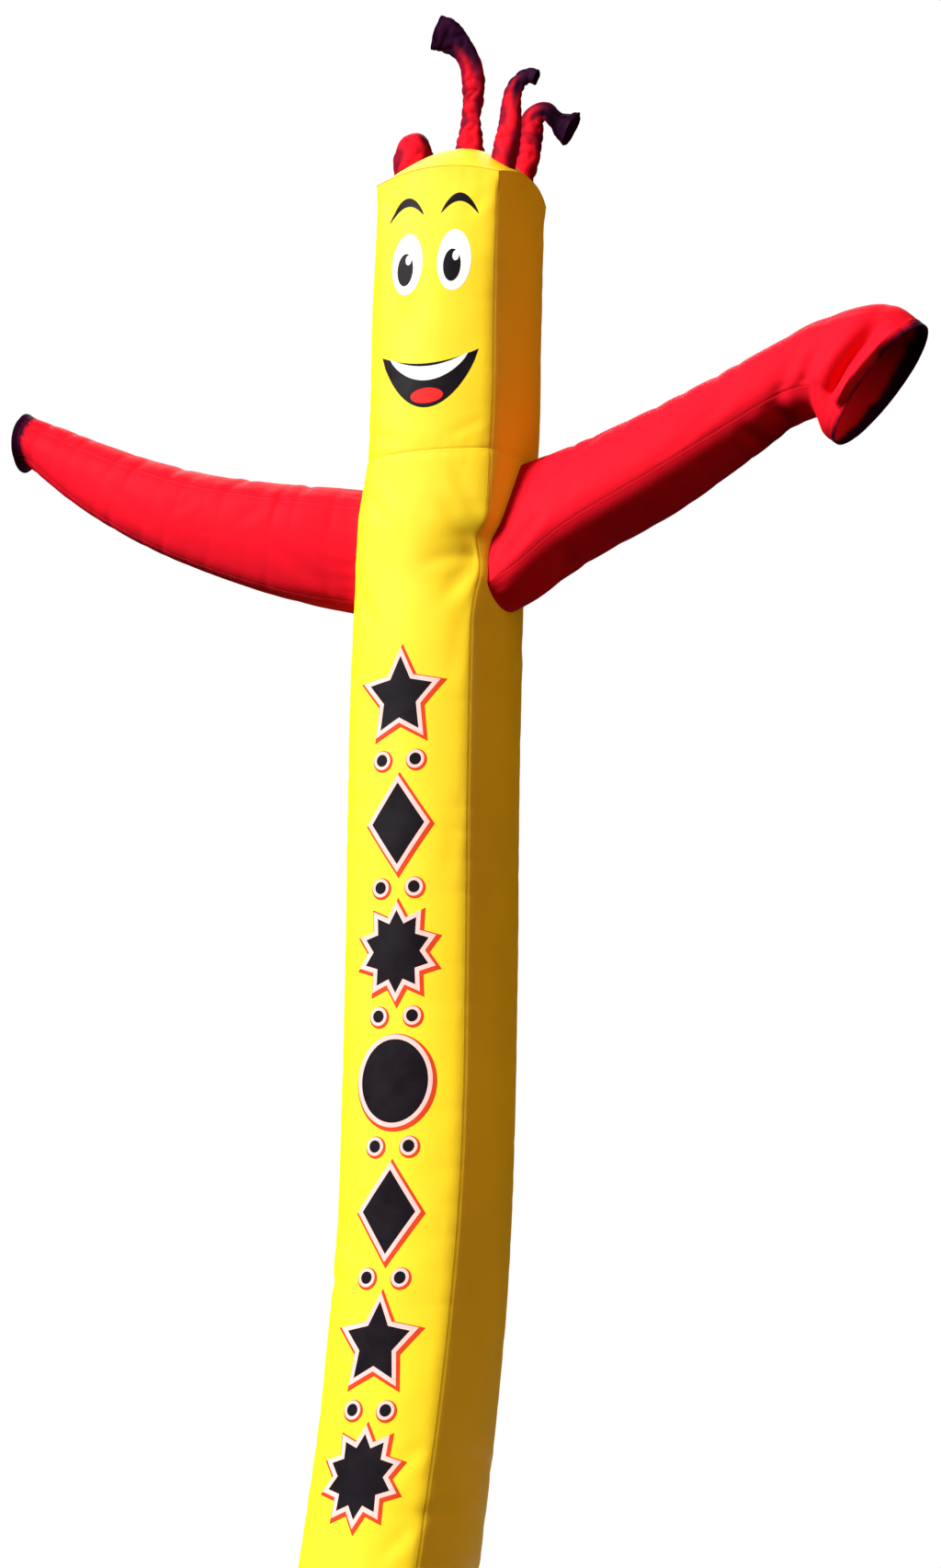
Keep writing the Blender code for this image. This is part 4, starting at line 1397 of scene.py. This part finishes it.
HAIR_SIDES = 40
HAIR_ROW_STEP = 0.005
HAIR_HEM = 0.012
FULL_THICKNESS = 0.026  # half thickness of a tube that takes the full depth of its wrinkles
WRINKLE_SLANT = 0.007  # how far a wrinkle wanders along the tube on its way round
PLEAT_DRIFT = 0.5  # how far a pleat wanders round the tube, in radians
SMOOTH_ROOT = 0.025  # over this distance from the top panel the wrinkles come up
SIDE_SHADE_SHARE = 0.74  # how strong the painted shade is on a tube's sides, in soft lengthwise streaks
# Each tube's wrinkles and pleats: the pitch and depth of the cross wrinkles, the number and depth of the
# lengthwise pleats, and the shares of its length where its end's painted shade begins and where it is full.
Crimp = namedtuple("Crimp", "pitch depth pleats pleat_depth dark_from dark_full")
CRIMPS = {
    "hair_left": Crimp(0.030, 0.0050, 5, 0.0050, 0.62, 1.05),
    "hair_middle": Crimp(0.034, 0.0050, 5, 0.0070, 0.42, 0.78),
    "hair_right_front": Crimp(0.030, 0.0042, 4, 0.0060, 0.50, 0.82),
    "hair_right_back": Crimp(0.032, 0.0046, 5, 0.0066, 0.46, 0.76),
}


def hair_root(name, angles):
    """The row of a tube's table, at each angle, where it rises out of the top panel."""
    return crossing(lambda row: height_off_top(hair_point(name, row, angles)), angles, HAIR_HOLE_ROWS)


def hair_foot(name):
    """The middle of the place where a tube meets the top panel, and about its half width there."""
    angles = angles_round(24)
    loop = hair_point(name, hair_root(name, angles), angles)
    foot = loop.mean(axis=0)
    return foot, float(np.linalg.norm(loop - foot, axis=-1).mean())


def hair_relief(crimp, seed, along, total, angle, half_thick):
    """How far a tube's wrinkles and pleats draw its skin in, and its hem lifts it."""
    wrinkles = tight_places(along + WRINKLE_SLANT * np.sin(angle * 2 + 1.0), crimp.pitch, seed)
    drift = angle + PLEAT_DRIFT * wander(along, seed + 3, 0.06, 0.3)
    pleats = (0.5 + 0.5 * np.cos(crimp.pleats * drift)) ** 2
    pleats = pleats * (0.6 + 0.4 * wander(along, seed + 5, 0.05, 0.2))
    relief = -(crimp.depth * wrinkles + crimp.pleat_depth * pleats)
    relief = relief * np.minimum(1.0, half_thick / FULL_THICKNESS)
    return relief * ease(0.0, SMOOTH_ROOT, along) + turned_hem(total - along, BASE_HEM_LIFT, HAIR_HEM)


def paint_hair_shade(crimp, seed, along, total, angle):
    """Painted shade: the tube's darkened end, and soft streaks of shade down its sides."""
    share = along / total + 0.10 * wander(angle / ANY_PHASE, seed + 7, 0.2, 0.6)
    side_shade = -0.7 * np.cos(2 * angle + 2.7 + 0.8 * wander(along, seed + 9, 0.10, 0.40))
    side_shade = side_shade + 0.35 * wander(along + 0.04 * np.sin(angle), seed + 11, 0.08, 0.30)
    return np.maximum(ease(crimp.dark_from, crimp.dark_full, share), SIDE_SHADE_SHARE * ease(-0.75, 0.25, side_shade))


def make_hair_tube(name):
    """One open tube, crimped across its bends and pleated along its length."""
    crimp = CRIMPS[name]
    table = HAIR[name]
    seed = 800 + 11 * list(HAIR).index(name)
    angles = angles_round(HAIR_SIDES)
    rows = np.linspace(0, len(table) - 1, 401)
    lengths = run_lengths(lock_middle(table, rows))
    roots = hair_root(name, angles)
    mean_root = float(roots.mean())
    start = float(np.interp(mean_root, rows, lengths))
    total = lengths[-1] - start
    along, angle = np.meshgrid(spread_rows(0.0, total, HAIR_ROW_STEP), angles, indexing="ij")
    slack = np.clip(1 - along / total, 0, 1) ** 2
    row = np.interp(along + start, lengths, rows) + (roots[None, :] - mean_root) * slack
    section = curve(table, row)
    outer = hair_point(name, row, angle)
    inner = hair_point(name, row, angle, CLOTH)
    normal = unit(outer - hair_point(name, row, angle, 2 * CLOTH))
    shift = normal * hair_relief(crimp, seed, along, total, angle, section.half_thick)[..., None]
    around = section.half_wide.mean() * np.concatenate((angle, angle[:, :1] + 2 * math.pi), axis=1)
    length = np.concatenate((along, along[:, :1]), axis=1)
    # Painted shade on the tube's end and on its sides.
    dark = paint_hair_shade(crimp, seed, along, total, angle)
    skins = (outer + shift, inner + shift)
    red = material_named("cloth_red")
    thing = make_sheet(name + "_cloth", skins, around, length, red, closed=True, dark=dark)
    dress(thing, name, outer + shift, closed=True)


# ----------------------------------
# Stitching

STITCH_FOOT = 0.0001  # how far a stitch's underside stands off the cloth
STITCH_ROW_STEP = 0.012  # between the places where a row of stitches is fitted to the cloth
# How far a row of stitches along a side seam keeps from its panel's ends, and a cross row from its seam.
BODY_ROW_GAP = 0.006
HEAD_ROW_GAPS = (0.006, 0.012)
SLEEVE_ROW_GAPS = (0.012, 0.006)
NECK_ROW_GAP = 0.007
SHOULDER_ROW_GAP = 0.008
HEM_ROW_GAP = 0.004


def add_stitches(mesh, points, normals, stitch):
    """A row of stitches along a line over the cloth, each a low bar."""
    lengths = run_lengths(points)
    starts = np.arange(stitch.gap, lengths[-1] - stitch.length, stitch.length + stitch.gap)
    for start in starts:
        ends = []
        for at in (start, start + stitch.length):
            point = np.array([np.interp(at, lengths, points[:, axis]) for axis in range(3)])
            normal = np.array([np.interp(at, lengths, normals[:, axis]) for axis in range(3)])
            ends.append((point, normal))
        run = ends[1][0] - ends[0][0]
        side = unit(np.cross(run, ends[0][1])) * stitch.width / 2
        corners = [
            mesh.verts.new(point + normal * lift + side * sign)
            for point, normal in ends
            for lift in (STITCH_FOOT, stitch.height)
            for sign in (-1, 1)
        ]
        low_a, low_b, high_a, high_b, far_low_a, far_low_b, far_high_a, far_high_b = corners
        for quad in (
            (low_a, low_b, far_low_b, far_low_a),
            (high_a, far_high_a, far_high_b, high_b),
            (low_a, far_low_a, far_high_a, high_a),
            (low_b, high_b, far_high_b, far_low_b),
            (low_a, high_a, high_b, low_b),
            (far_low_a, far_low_b, far_high_b, far_high_a),
        ):
            mesh.faces.new(quad)


def seam_stitch_lines(panel, rows, seam_offset):
    """Lines over a panel's cloth beside both of its side seams."""
    for side in (-1, 1):
        u = side * (1 - seam_offset / panel.half_width(rows))
        outer, _, normal = panel.skins(rows, u)
        yield outer, normal


def cross_stitch_line(panel, along):
    """A line over a panel's cloth from side to side, at this place along it."""
    u = np.linspace(-0.97, 0.97, 60)
    outer, _, normal = panel.skins(np.full_like(u, along), u)
    return outer, normal


def make_stitching(colour, side_rows, cross_rows):
    """All the stitching of one colour. Side rows are (panel, start, end), and cross rows (panel, place)."""
    stitch = bpy.context.scene.dancer_stitch
    mesh = bmesh.new()
    for name, start, end in side_rows:
        rows = np.arange(start, end, STITCH_ROW_STEP)
        for points, normals in seam_stitch_lines(panel_of(name), rows, stitch.seam_offset):
            add_stitches(mesh, points, normals, stitch)
    for name, along in cross_rows:
        add_stitches(mesh, *cross_stitch_line(panel_of(name), along), stitch)
    bmesh.ops.recalc_face_normals(mesh, faces=mesh.faces)
    name = f"stitching_{colour}"
    data = mesh_from(name, mesh)
    data.materials.append(material_named(f"thread_{colour}"))
    thing = link_object(name, data)
    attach(thing, BODY)


# ----------------------------------
# Print

FILM_FOOT = 0.0002  # how far the lowest layer of ink stands off the cloth
FILM_STEP = 0.011  # size of a film's triangles
DOT_SHARE = 0.7  # width of a dot's outline and rim, against a shape's
DOT_DROP = 0.6  # and how far its rim is set aside
DOT_POINTS = 28
ROUND_POINTS = 56
COLUMN_ORDER = ("star", "diamond", "burst", "disc", "diamond", "star", "burst")

# The face: half widths and half heights of its rounds, and how far they lie from the middle of the eye or
# from between the mouth's corners.
EYE = (0.058, 0.098)
PUPIL = (0.030, 0.052)
PUPIL_SHIFT = np.array((-0.006, -0.016))
GLINT = (0.011, 0.016)
GLINT_SHIFT = np.array((0.006, 0.014))
BROW_ASIDE = 0.012
BROW_RISE = 0.150
BROW = (0.066, 0.052, 0.028)  # half width, rise of the arch and thickness
MOUTH = (0.172, 0.040, 0.190)  # half width, and how far its upper and its lower edge hang
TEETH = (0.140, 0.040, 0.088)
TEETH_DROP = 0.010
TONGUE = (0.058, 0.026)
TONGUE_DROP = 0.150


def circle(count, wide=1.0, tall=1.0):
    """A round of this many points, with these half sizes."""
    turn = angles_round(count)
    return np.stack((wide * np.cos(turn), tall * np.sin(turn)), axis=-1)


def star(points, inner):
    """A star with its first point up. Its points reach 1 and its hollows inner."""
    turn = math.pi / 2 + np.arange(2 * points) * math.pi / points
    reach = np.where(np.arange(2 * points) % 2 == 0, 1.0, inner)
    return np.stack((reach * np.cos(turn), reach * np.sin(turn)), axis=-1)


def grow(outline, margin):
    """The outline moved out by a margin, with its corners kept and the sharpest of them cut short."""
    before = np.roll(outline, 1, axis=0)
    after = np.roll(outline, -1, axis=0)
    normals = []
    for start, end in ((before, outline), (outline, after)):
        run = unit(end - start)
        normals.append(np.stack((run[:, 1], -run[:, 0]), axis=-1))
    middle = unit(normals[0] + normals[1])
    return outline + middle * margin / np.maximum(dot(middle, normals[0]), 0.5)


# Outlines of the column's shapes, with half sizes of 1.
MOTIFS = {
    "star": star(5, 0.52),
    "diamond": np.array(((0.0, 1.0), (-0.80, 0.0), (0.0, -1.0), (0.80, 0.0))),
    "burst": star(10, 0.70),
    "disc": circle(ROUND_POINTS),
}


def film_of(outline):
    """The outline filled once over with small triangles: its points, its faces and the edges of its rim."""
    rim = []
    for start, end in zip(outline, np.roll(outline, -1, axis=0)):
        count = max(1, math.ceil(np.linalg.norm(end - start) / FILM_STEP))
        rim += [start + (end - start) * i / count for i in range(count)]
    low, high = outline.min(axis=0), outline.max(axis=0)
    heights = np.arange(low[1], high[1], FILM_STEP)
    inner = [(x, y) for x in np.arange(low[0] + FILM_STEP / 2, high[0], FILM_STEP) for y in heights]
    given = [Vector(point) for point in (*rim, *inner)]
    points, _, triangles, *_ = delaunay_2d_cdt(given, [], [list(range(len(rim)))], 1, 1e-6)
    used = sorted({index for triangle in triangles for index in triangle})
    place = {index: i for i, index in enumerate(used)}
    points = np.array([points[index] for index in used])
    faces = [[place[index] for index in triangle] for triangle in triangles]
    sides = [(face[i], face[(i + 1) % 3]) for face in faces for i in range(3)]
    side_set = set(sides)
    open_sides = [side for side in sides if side[::-1] not in side_set]
    return points, faces, open_sides


def joined_films(outlines):
    """The films inside these outlines as one: their points, their faces and the edges of their rims."""
    flat, faces, rim = [], [], []
    for outline in outlines:
        points, own_faces, own_rim = film_of(outline)
        first = sum(len(part) for part in flat)
        flat.append(points)
        faces += [[index + first for index in face] for face in own_faces]
        rim += [[a + first, b + first] for a, b in own_rim]
    return np.concatenate(flat), faces, rim


def lay_print(name, outlines, panel_name, layer, ink_name):
    """A layer of ink over a panel's cloth, as a thin closed film. Outlines are (across, height) points."""
    film = bpy.context.scene.dancer_print.film
    low, high = FILM_FOOT + film * (layer - 1), FILM_FOOT + film * layer
    panel = panel_of(panel_name)
    flat, faces, rim = joined_films(outlines)
    count = len(flat)
    outer, _, normals = panel.skins(flat[:, 1], flat[:, 0] / panel.half_width(flat[:, 1]))
    points = np.concatenate((outer + normals * low, outer + normals * high))
    closing = [[index + count for index in reversed(face)] for face in faces]
    closing += [[a, b, b + count, a + count] for a, b in rim]
    data = bpy.data.meshes.new(name)
    data.from_pydata(points.tolist(), [], faces + closing)
    places = (flat - flat.min(axis=0)) / (flat.max(axis=0) - flat.min(axis=0))
    places = UV_MARGIN + (1 - 2 * UV_MARGIN) * places
    order = np.zeros(len(data.loops), dtype=np.int32)
    data.loops.foreach_get("vertex_index", order)
    add_uv(data, "UVMap", places[order % count])
    mesh = bmesh.new()
    mesh.from_mesh(data)
    bmesh.ops.recalc_face_normals(mesh, faces=mesh.faces)
    mesh.to_mesh(data)
    mesh.free()
    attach(add_piece(name, data, material_named(ink_name)), BODY)


def make_print_column():
    """A column of plain shapes and dots down the front: black, with a pale outline and a red rim."""
    prints = bpy.context.scene.dancer_print
    rims, pales, blacks = [], [], []
    heights = np.linspace(prints.column_top, prints.column_foot, len(COLUMN_ORDER))
    drop = np.array((prints.rim_offset, -prints.rim_offset))

    def print_shape(shape, share, rim_drop):
        blacks.append(shape)
        pales.append(grow(shape, prints.outline_width * share))
        rims.append(grow(shape, (prints.outline_width + prints.rim_width) * share) + rim_drop)

    for kind, height in zip(COLUMN_ORDER, heights):
        middle = np.array((prints.column_across, height))
        size = np.array((prints.motif_wide, prints.motif_tall))
        print_shape(middle + MOTIFS[kind] * size / 2, 1.0, drop)
    for above, below in zip(heights, heights[1:]):
        for side in (-1, 1):
            middle = np.array((prints.column_across + side * prints.dot_spread, (above + below) / 2))
            print_shape(middle + circle(DOT_POINTS) * prints.dot_size / 2, DOT_SHARE, drop * DOT_DROP)
    lay_print("print_rim", rims, "body_front", 1, "ink_red")
    lay_print("print_outline", pales, "body_front", 2, "ink_pale")
    lay_print("print_shapes", blacks, "body_front", 3, "ink_black")


def arc_band(middle, half_wide, rise, thickness, count=20):
    """A brow: a band along an arch, thickest in its middle and pointed at both ends."""
    t = np.linspace(-1, 1, count)
    spine = middle + np.stack((half_wide * t, rise * (1 - t * t)), axis=-1)
    weight = np.stack((0 * t, thickness / 2 * (1 - t * t) ** 0.6), axis=-1)
    return np.concatenate((spine - weight, (spine + weight)[-2:0:-1]))


def smile(middle, half_wide, sag_top, sag_low, count=28):
    """A mouth between two curves that hang from the same corners."""
    t = np.linspace(-1, 1, count)
    lower = middle - np.stack((-half_wide * t, sag_low * (1 - t * t) ** 0.8), axis=-1)
    upper = middle - np.stack((-half_wide * t, sag_top * (1 - t * t)), axis=-1)
    return np.concatenate((lower, upper[-2:0:-1]))


def make_face():
    """A plain smiling face on the head's front panel: round eyes, brows and an open mouth."""
    prints = bpy.context.scene.dancer_print
    whites, pupils, glints, brows = [], [], [], []
    for side in (-1, 1):
        eye = np.array((side * prints.eye_spread, prints.eye_height))
        whites.append(eye + circle(ROUND_POINTS, *EYE))
        pupils.append(eye + PUPIL_SHIFT + circle(40, *PUPIL))
        glints.append(eye + GLINT_SHIFT + circle(24, *GLINT))
        brows.append(arc_band(eye + (side * BROW_ASIDE, BROW_RISE), *BROW))
    mouth = np.array((0.0, prints.mouth_height))
    teeth = smile(mouth - (0.0, TEETH_DROP), *TEETH)
    tongue = mouth - (0.0, TONGUE_DROP) + circle(40, *TONGUE)
    for name, outlines, layer, ink_name in (
        ("face_whites", whites, 1, "ink_white"),
        ("face_pupils", pupils, 2, "ink_black"),
        ("face_glints", glints, 3, "ink_white"),
        ("face_brows", brows, 1, "ink_black"),
        ("face_mouth", [smile(mouth, *MOUTH)], 1, "ink_black"),
        ("face_teeth", [teeth], 2, "ink_white"),
        ("face_tongue", [tongue], 2, "ink_tongue"),
    ):
        lay_print(name, outlines, "head_front", layer, ink_name)


# ----------------------------------
# Stage

FLOOR_COLOUR = (0.86, 0.86, 0.85)
FLOOR_GRAIN = ((0.84, 0.84, 0.83), (0.90, 0.90, 0.89))
FLOOR_RADIUS = 14.0
FLOOR_FADE = (4.0, 12.0)  # the distances at which the floor starts to fade and is gone
SUN_DISTANCE = 12
# Suns: the side they shine from, where azimuth 0 is in front of the figure and 90 on its +X side, and their
# colour and spread. The stage's settings of the same names are their strengths.
Sun = namedtuple("Sun", "azimuth_deg elevation_deg colour spread_deg")
SUNS = {
    "key": Sun(-40.0, 30.0, (1.0, 0.99, 0.95), 24.0),
    "fill": Sun(72.0, 16.0, (1.0, 0.60, 0.42), 50.0),
    "rear": Sun(205.0, 42.0, (1.0, 0.96, 0.90), 40.0),
}


def add_sun(name, sun, strength):
    """A sun of this strength."""
    lamp = bpy.data.lights.new(name, "SUN")
    lamp.energy = strength
    lamp.color = sun.colour
    lamp.angle = math.radians(sun.spread_deg)
    side, up = math.radians(sun.azimuth_deg), math.radians(sun.elevation_deg)
    towards = Vector((math.sin(side) * math.cos(up), -math.cos(side) * math.cos(up), math.sin(up)))
    thing = link_object(name, lamp)
    thing.rotation_mode = "QUATERNION"
    thing.rotation_quaternion = towards.to_track_quat("Z", "Y")
    thing.location = towards * SUN_DISTANCE


def make_floor():
    """A pale round floor that fades out well before the horizon."""
    mesh = bmesh.new()
    bmesh.ops.create_circle(mesh, cap_ends=True, cap_tris=True, segments=96, radius=FLOOR_RADIUS)
    floor = link_object("floor", mesh_from("floor", mesh))
    floor.location.z = -0.002
    material, tree, shader = new_material("floor_pale", FLOOR_COLOUR, 0.9)
    place = object_place(tree)
    distance = add_node(tree, "ShaderNodeVectorMath", {0: place}, operation="LENGTH").outputs["Value"]
    tree.links.new(map_range(tree, distance, *FLOOR_FADE, 1.0, 0.0), shader.inputs["Alpha"])
    pale = mix_colour(tree, noise(tree, place, 30.0, 4.0), *(opaque(colour) for colour in FLOOR_GRAIN))
    tree.links.new(pale, shader.inputs["Base Color"])
    floor.data.materials.append(material)
    floor.visible_diffuse = False


def make_world():
    """White behind the figure. Only the suns light its cloth."""
    world = bpy.data.worlds.new("white_room")
    bpy.context.scene.world = world
    world.use_nodes = True
    background = world.node_tree.nodes["Background"]
    background.inputs["Color"].default_value = (1.0, 1.0, 1.0, 1.0)
    background.inputs["Strength"].default_value = 1.0
    world.cycles_visibility.diffuse = False
    world.cycles_visibility.glossy = False
    bpy.context.scene.view_settings.view_transform = "Standard"


def make_camera():
    """The camera, turned round the figure and pitched up as the stage's settings say."""
    stage = bpy.context.scene.dancer_stage
    camera_data = bpy.data.cameras.new("camera")
    camera_data.sensor_width = 36.0
    camera_data.sensor_fit = "AUTO"
    camera_data.lens = stage.lens
    camera_data.clip_end = 200.0
    camera = link_object("camera", camera_data)
    turn, pitch = stage.camera_turn, stage.camera_pitch
    right = Vector((math.cos(turn), math.sin(turn), 0.0))
    level = Vector((-math.sin(turn), math.cos(turn), 0.0))
    ahead = level * math.cos(pitch) + Vector((0, 0, math.sin(pitch)))
    axes = Matrix((right, right.cross(ahead), -ahead)).transposed().to_4x4()
    camera.matrix_world = Matrix.Translation(Vector(stage.camera_place)) @ axes
    bpy.context.scene.camera = camera


# ----------------------------------
# Settings that a user would change


def colour_setting(name, description, default):
    """A setting for a colour."""
    return bpy.props.FloatVectorProperty(
        name=name, description=description, subtype="COLOR", min=0, max=1, default=default
    )


def number_setting(name, description, default, **more):
    """A setting for a number, with its limits, unit or subtype."""
    return bpy.props.FloatProperty(name=name, description=description, default=default, **more)


def size_setting(name, description, default, **limits):
    """A setting for a size in metres."""
    return number_setting(name, description, default, unit="LENGTH", precision=5, **limits)


def angle_setting(name, description, degrees):
    """A setting for an angle, which Blender keeps in radians."""
    return number_setting(name, description, math.radians(degrees), subtype="ANGLE")


class DancerCloth(bpy.types.PropertyGroup):
    """Colours and finish of the nylon."""

    yellow: colour_setting("Yellow", "Colour of body and head", (0.94, 0.675, 0.015))
    red: colour_setting("Red", "Colour of sleeves and hair", (0.80, 0.008, 0.022))
    # Painted shade: the colour that the open ends of sleeves and hair, and the hair tubes' sides, are
    # darkened towards.
    dark: colour_setting("Dark end", "Colour that dyed ends fade to", (0.021, 0.003, 0.019))
    roughness: number_setting("Roughness", "How rough the cloth is", 0.55, subtype="FACTOR", min=0.1, max=1)
    sheen: number_setting("Sheen", "Soft shine at grazing angles", 0.02, subtype="FACTOR", min=0, max=1)
    ripstop_pitch: size_setting("Ripstop pitch", "Distance between the grid's thicker threads", 0.0055)
    crinkle: number_setting("Crinkle", "Strength of the fine crinkle", 0.22, subtype="FACTOR", min=0, max=1)


class DancerFolds(bpy.types.PropertyGroup):
    """How strongly the cloth folds, and how finely it is meshed."""

    fold_strength: number_setting("Folds", "Scale of the folds placed by hand", 0.75, min=0, max=1.5)
    swell_strength: number_setting("Swell", "Scale of the broad unevenness", 1.0, min=0, max=1.5)
    row_step: size_setting("Row step", "Distance between rows of the mesh", 0.012, min=0.008, max=0.05)


class DancerStitch(bpy.types.PropertyGroup):
    """Sizes of the lockstitch beside each seam."""

    length: size_setting("Length", "Length of a stitch", 0.0058)
    gap: size_setting("Gap", "Cloth between two stitches", 0.0034)
    width: size_setting("Width", "Thickness of the thread", 0.0010)
    height: size_setting("Height", "How far the thread stands up", 0.0006)
    seam_offset: size_setting("Offset", "Distance of the row from its seam", 0.007)


class DancerPrint(bpy.types.PropertyGroup):
    """Colours and sizes of the print."""

    black: colour_setting("Black", "Main ink", (0.007, 0.005, 0.008))
    pale: colour_setting("Outline", "Ink round the shapes", (0.86, 0.52, 0.50))
    white: colour_setting("White", "Ink of eyes and teeth", (0.86, 0.84, 0.80))
    rim: colour_setting("Rim", "Ink behind the outline", (0.62, 0.050, 0.012))
    tongue: colour_setting("Tongue", "Ink of the tongue", (0.72, 0.020, 0.020))
    film: size_setting("Film", "Thickness of a layer of ink", 0.0004)
    column_top: size_setting("Column top", "Height of the highest shape's middle", 3.64)
    column_foot: size_setting("Column foot", "Height of the lowest shape's middle", 1.12)
    column_across: size_setting("Column place", "Middle of the column, across from the panel's", -0.015)
    motif_wide: size_setting("Shape width", "Width of a shape, without its outline", 0.235)
    motif_tall: size_setting("Shape height", "Height of a shape, without its outline", 0.270)
    outline_width: size_setting("Outline width", "Width of the pale outline", 0.015)
    rim_width: size_setting("Rim width", "Width of the rim behind it", 0.008)
    rim_offset: size_setting("Rim offset", "How far the rim is set down and to the right", 0.006)
    dot_size: size_setting("Dot size", "Size of the dots between shapes", 0.040)
    dot_spread: size_setting("Dot spread", "Distance of a dot from the column's middle", 0.060)
    eye_height: size_setting("Eye height", "Height of the eyes' middle", 5.095)
    eye_spread: size_setting("Eye spread", "Distance of an eye from the face's middle", 0.084)
    mouth_height: size_setting("Mouth height", "Height of the mouth's corners", 4.795)


class DancerStage(bpy.types.PropertyGroup):
    """Camera and light."""

    lens: number_setting("Lens", "Focal length", 83.08, unit="CAMERA")
    camera_place: bpy.props.FloatVectorProperty(
        name="Camera place", description="Where the camera stands",
        subtype="TRANSLATION", default=(4.73635, -11.02881, 1.6),
    )
    camera_turn: angle_setting("Camera turn", "How far the camera stands round to +X", 22.0)
    camera_pitch: angle_setting("Camera pitch", "How far the camera looks up", 8.5)
    key: number_setting("Key", "Strength of the main light", 6.8, min=0)
    fill: number_setting("Fill", "Strength of the warm light from +X", 1.10, min=0)
    rear: number_setting("Rear", "Strength of the light from behind", 2.0, min=0)


# ----------------------------------
# Operators


class DANCER_OT_body(bpy.types.Operator):
    """Builds the four panels of the body, with the holes under the sleeves"""

    bl_idname = "air_dancer.body"
    bl_label = "Body"

    def execute(self, context):
        make_figure_panels("body")
        return {"FINISHED"}


class DANCER_OT_head(bpy.types.Operator):
    """Builds the four panels of the head and the puffed top"""

    bl_idname = "air_dancer.head"
    bl_label = "Head"

    def execute(self, context):
        make_figure_panels("head")
        make_top_panel()
        return {"FINISHED"}


class DANCER_OT_sleeves(bpy.types.Operator):
    """Builds both sleeves, four panels each"""

    bl_idname = "air_dancer.sleeves"
    bl_label = "Sleeves"

    def execute(self, context):
        for side in SLEEVES:
            make_sleeve(side)
        return {"FINISHED"}


class DANCER_OT_hair(bpy.types.Operator):
    """Builds the four open hair tubes"""

    bl_idname = "air_dancer.hair"
    bl_label = "Hair"

    def execute(self, context):
        for name in HAIR:
            make_hair_tube(name)
        return {"FINISHED"}


class DANCER_OT_stitching(bpy.types.Operator):
    """Sews a row of stitches beside every seam and hem"""

    bl_idname = "air_dancer.stitching"
    bl_label = "Stitching"

    def execute(self, context):
        bodies = [f"body_{face}" for face in FACES]
        heads = [f"head_{face}" for face in FACES]
        hem = HEM - HEM_ROW_GAP
        along = [(name, BODY_ROW_GAP, NECK - BODY_ROW_GAP) for name in bodies]
        along += [(name, NECK + HEAD_ROW_GAPS[0], TOP_SEAM - HEAD_ROW_GAPS[1]) for name in heads]
        across = [(name, height) for name in bodies for height in (hem, NECK - NECK_ROW_GAP)]
        across += [(name, NECK + NECK_ROW_GAP) for name in heads]
        make_stitching("yellow", along, across)
        sleeves = [f"sleeve_{side}_{title}" for side in SLEEVES for title in SLEEVE_PANELS.values()]
        ends = {name: panel_of(name).end for name in sleeves}
        along = [(name, SLEEVE_ROW_GAPS[0], ends[name] - SLEEVE_ROW_GAPS[1]) for name in sleeves]
        across = [(name, ends[name] - hem) for name in sleeves]
        across += [(name, SHOULDER_ROW_GAP) for name in sleeves]
        make_stitching("red", along, across)
        return {"FINISHED"}


class DANCER_OT_print(bpy.types.Operator):
    """Prints the column of shapes on the body's front"""

    bl_idname = "air_dancer.print_column"
    bl_label = "Print"

    def execute(self, context):
        make_print_column()
        return {"FINISHED"}


class DANCER_OT_face(bpy.types.Operator):
    """Prints the face on the head's front"""

    bl_idname = "air_dancer.face"
    bl_label = "Face"

    def execute(self, context):
        make_face()
        return {"FINISHED"}


class DANCER_OT_stage(bpy.types.Operator):
    """Sets up floor, room, lights and camera"""

    bl_idname = "air_dancer.stage"
    bl_label = "Stage"

    def execute(self, context):
        make_world()
        make_floor()
        for name, sun in SUNS.items():
            add_sun(name, sun, getattr(context.scene.dancer_stage, name))
        make_camera()
        return {"FINISHED"}


class DANCER_PT_panel(bpy.types.Panel):
    """Lists the operators and the settings"""

    bl_idname = "DANCER_PT_panel"
    bl_label = "Air Dancer"
    bl_space_type = "VIEW_3D"
    bl_region_type = "UI"
    bl_category = "Air Dancer"

    def draw(self, context):
        for operator in OPERATORS:
            self.layout.operator(operator.bl_idname)
        for name in SETTINGS:
            box = self.layout.box()
            settings = getattr(context.scene, name)
            for field in settings.bl_rna.properties:
                if field.identifier not in ("rna_type", "name"):
                    box.prop(settings, field.identifier)


SETTINGS = {
    "dancer_cloth": DancerCloth,
    "dancer_folds": DancerFolds,
    "dancer_stitch": DancerStitch,
    "dancer_print": DancerPrint,
    "dancer_stage": DancerStage,
}
OPERATORS = (
    DANCER_OT_body,
    DANCER_OT_head,
    DANCER_OT_sleeves,
    DANCER_OT_hair,
    DANCER_OT_stitching,
    DANCER_OT_print,
    DANCER_OT_face,
    DANCER_OT_stage,
)


def register():
    """Adds the settings, the operators and their panel to Blender."""
    for cls in (*SETTINGS.values(), *OPERATORS, DANCER_PT_panel):
        bpy.utils.register_class(cls)
    for name, cls in SETTINGS.items():
        setattr(bpy.types.Scene, name, bpy.props.PointerProperty(type=cls))


def unregister():
    """Takes them out of Blender again."""
    for name in SETTINGS:
        delattr(bpy.types.Scene, name)
    for cls in (DANCER_PT_panel, *reversed(OPERATORS), *reversed(SETTINGS.values())):
        bpy.utils.unregister_class(cls)


def main():
    """Builds the figure piece by piece."""
    register()
    bpy.ops.air_dancer.body()
    bpy.ops.air_dancer.head()
    bpy.ops.air_dancer.sleeves()
    bpy.ops.air_dancer.hair()
    bpy.ops.air_dancer.stitching()
    bpy.ops.air_dancer.print_column()
    bpy.ops.air_dancer.face()
    bpy.ops.air_dancer.stage()


if __name__ == "__main__":
    main()
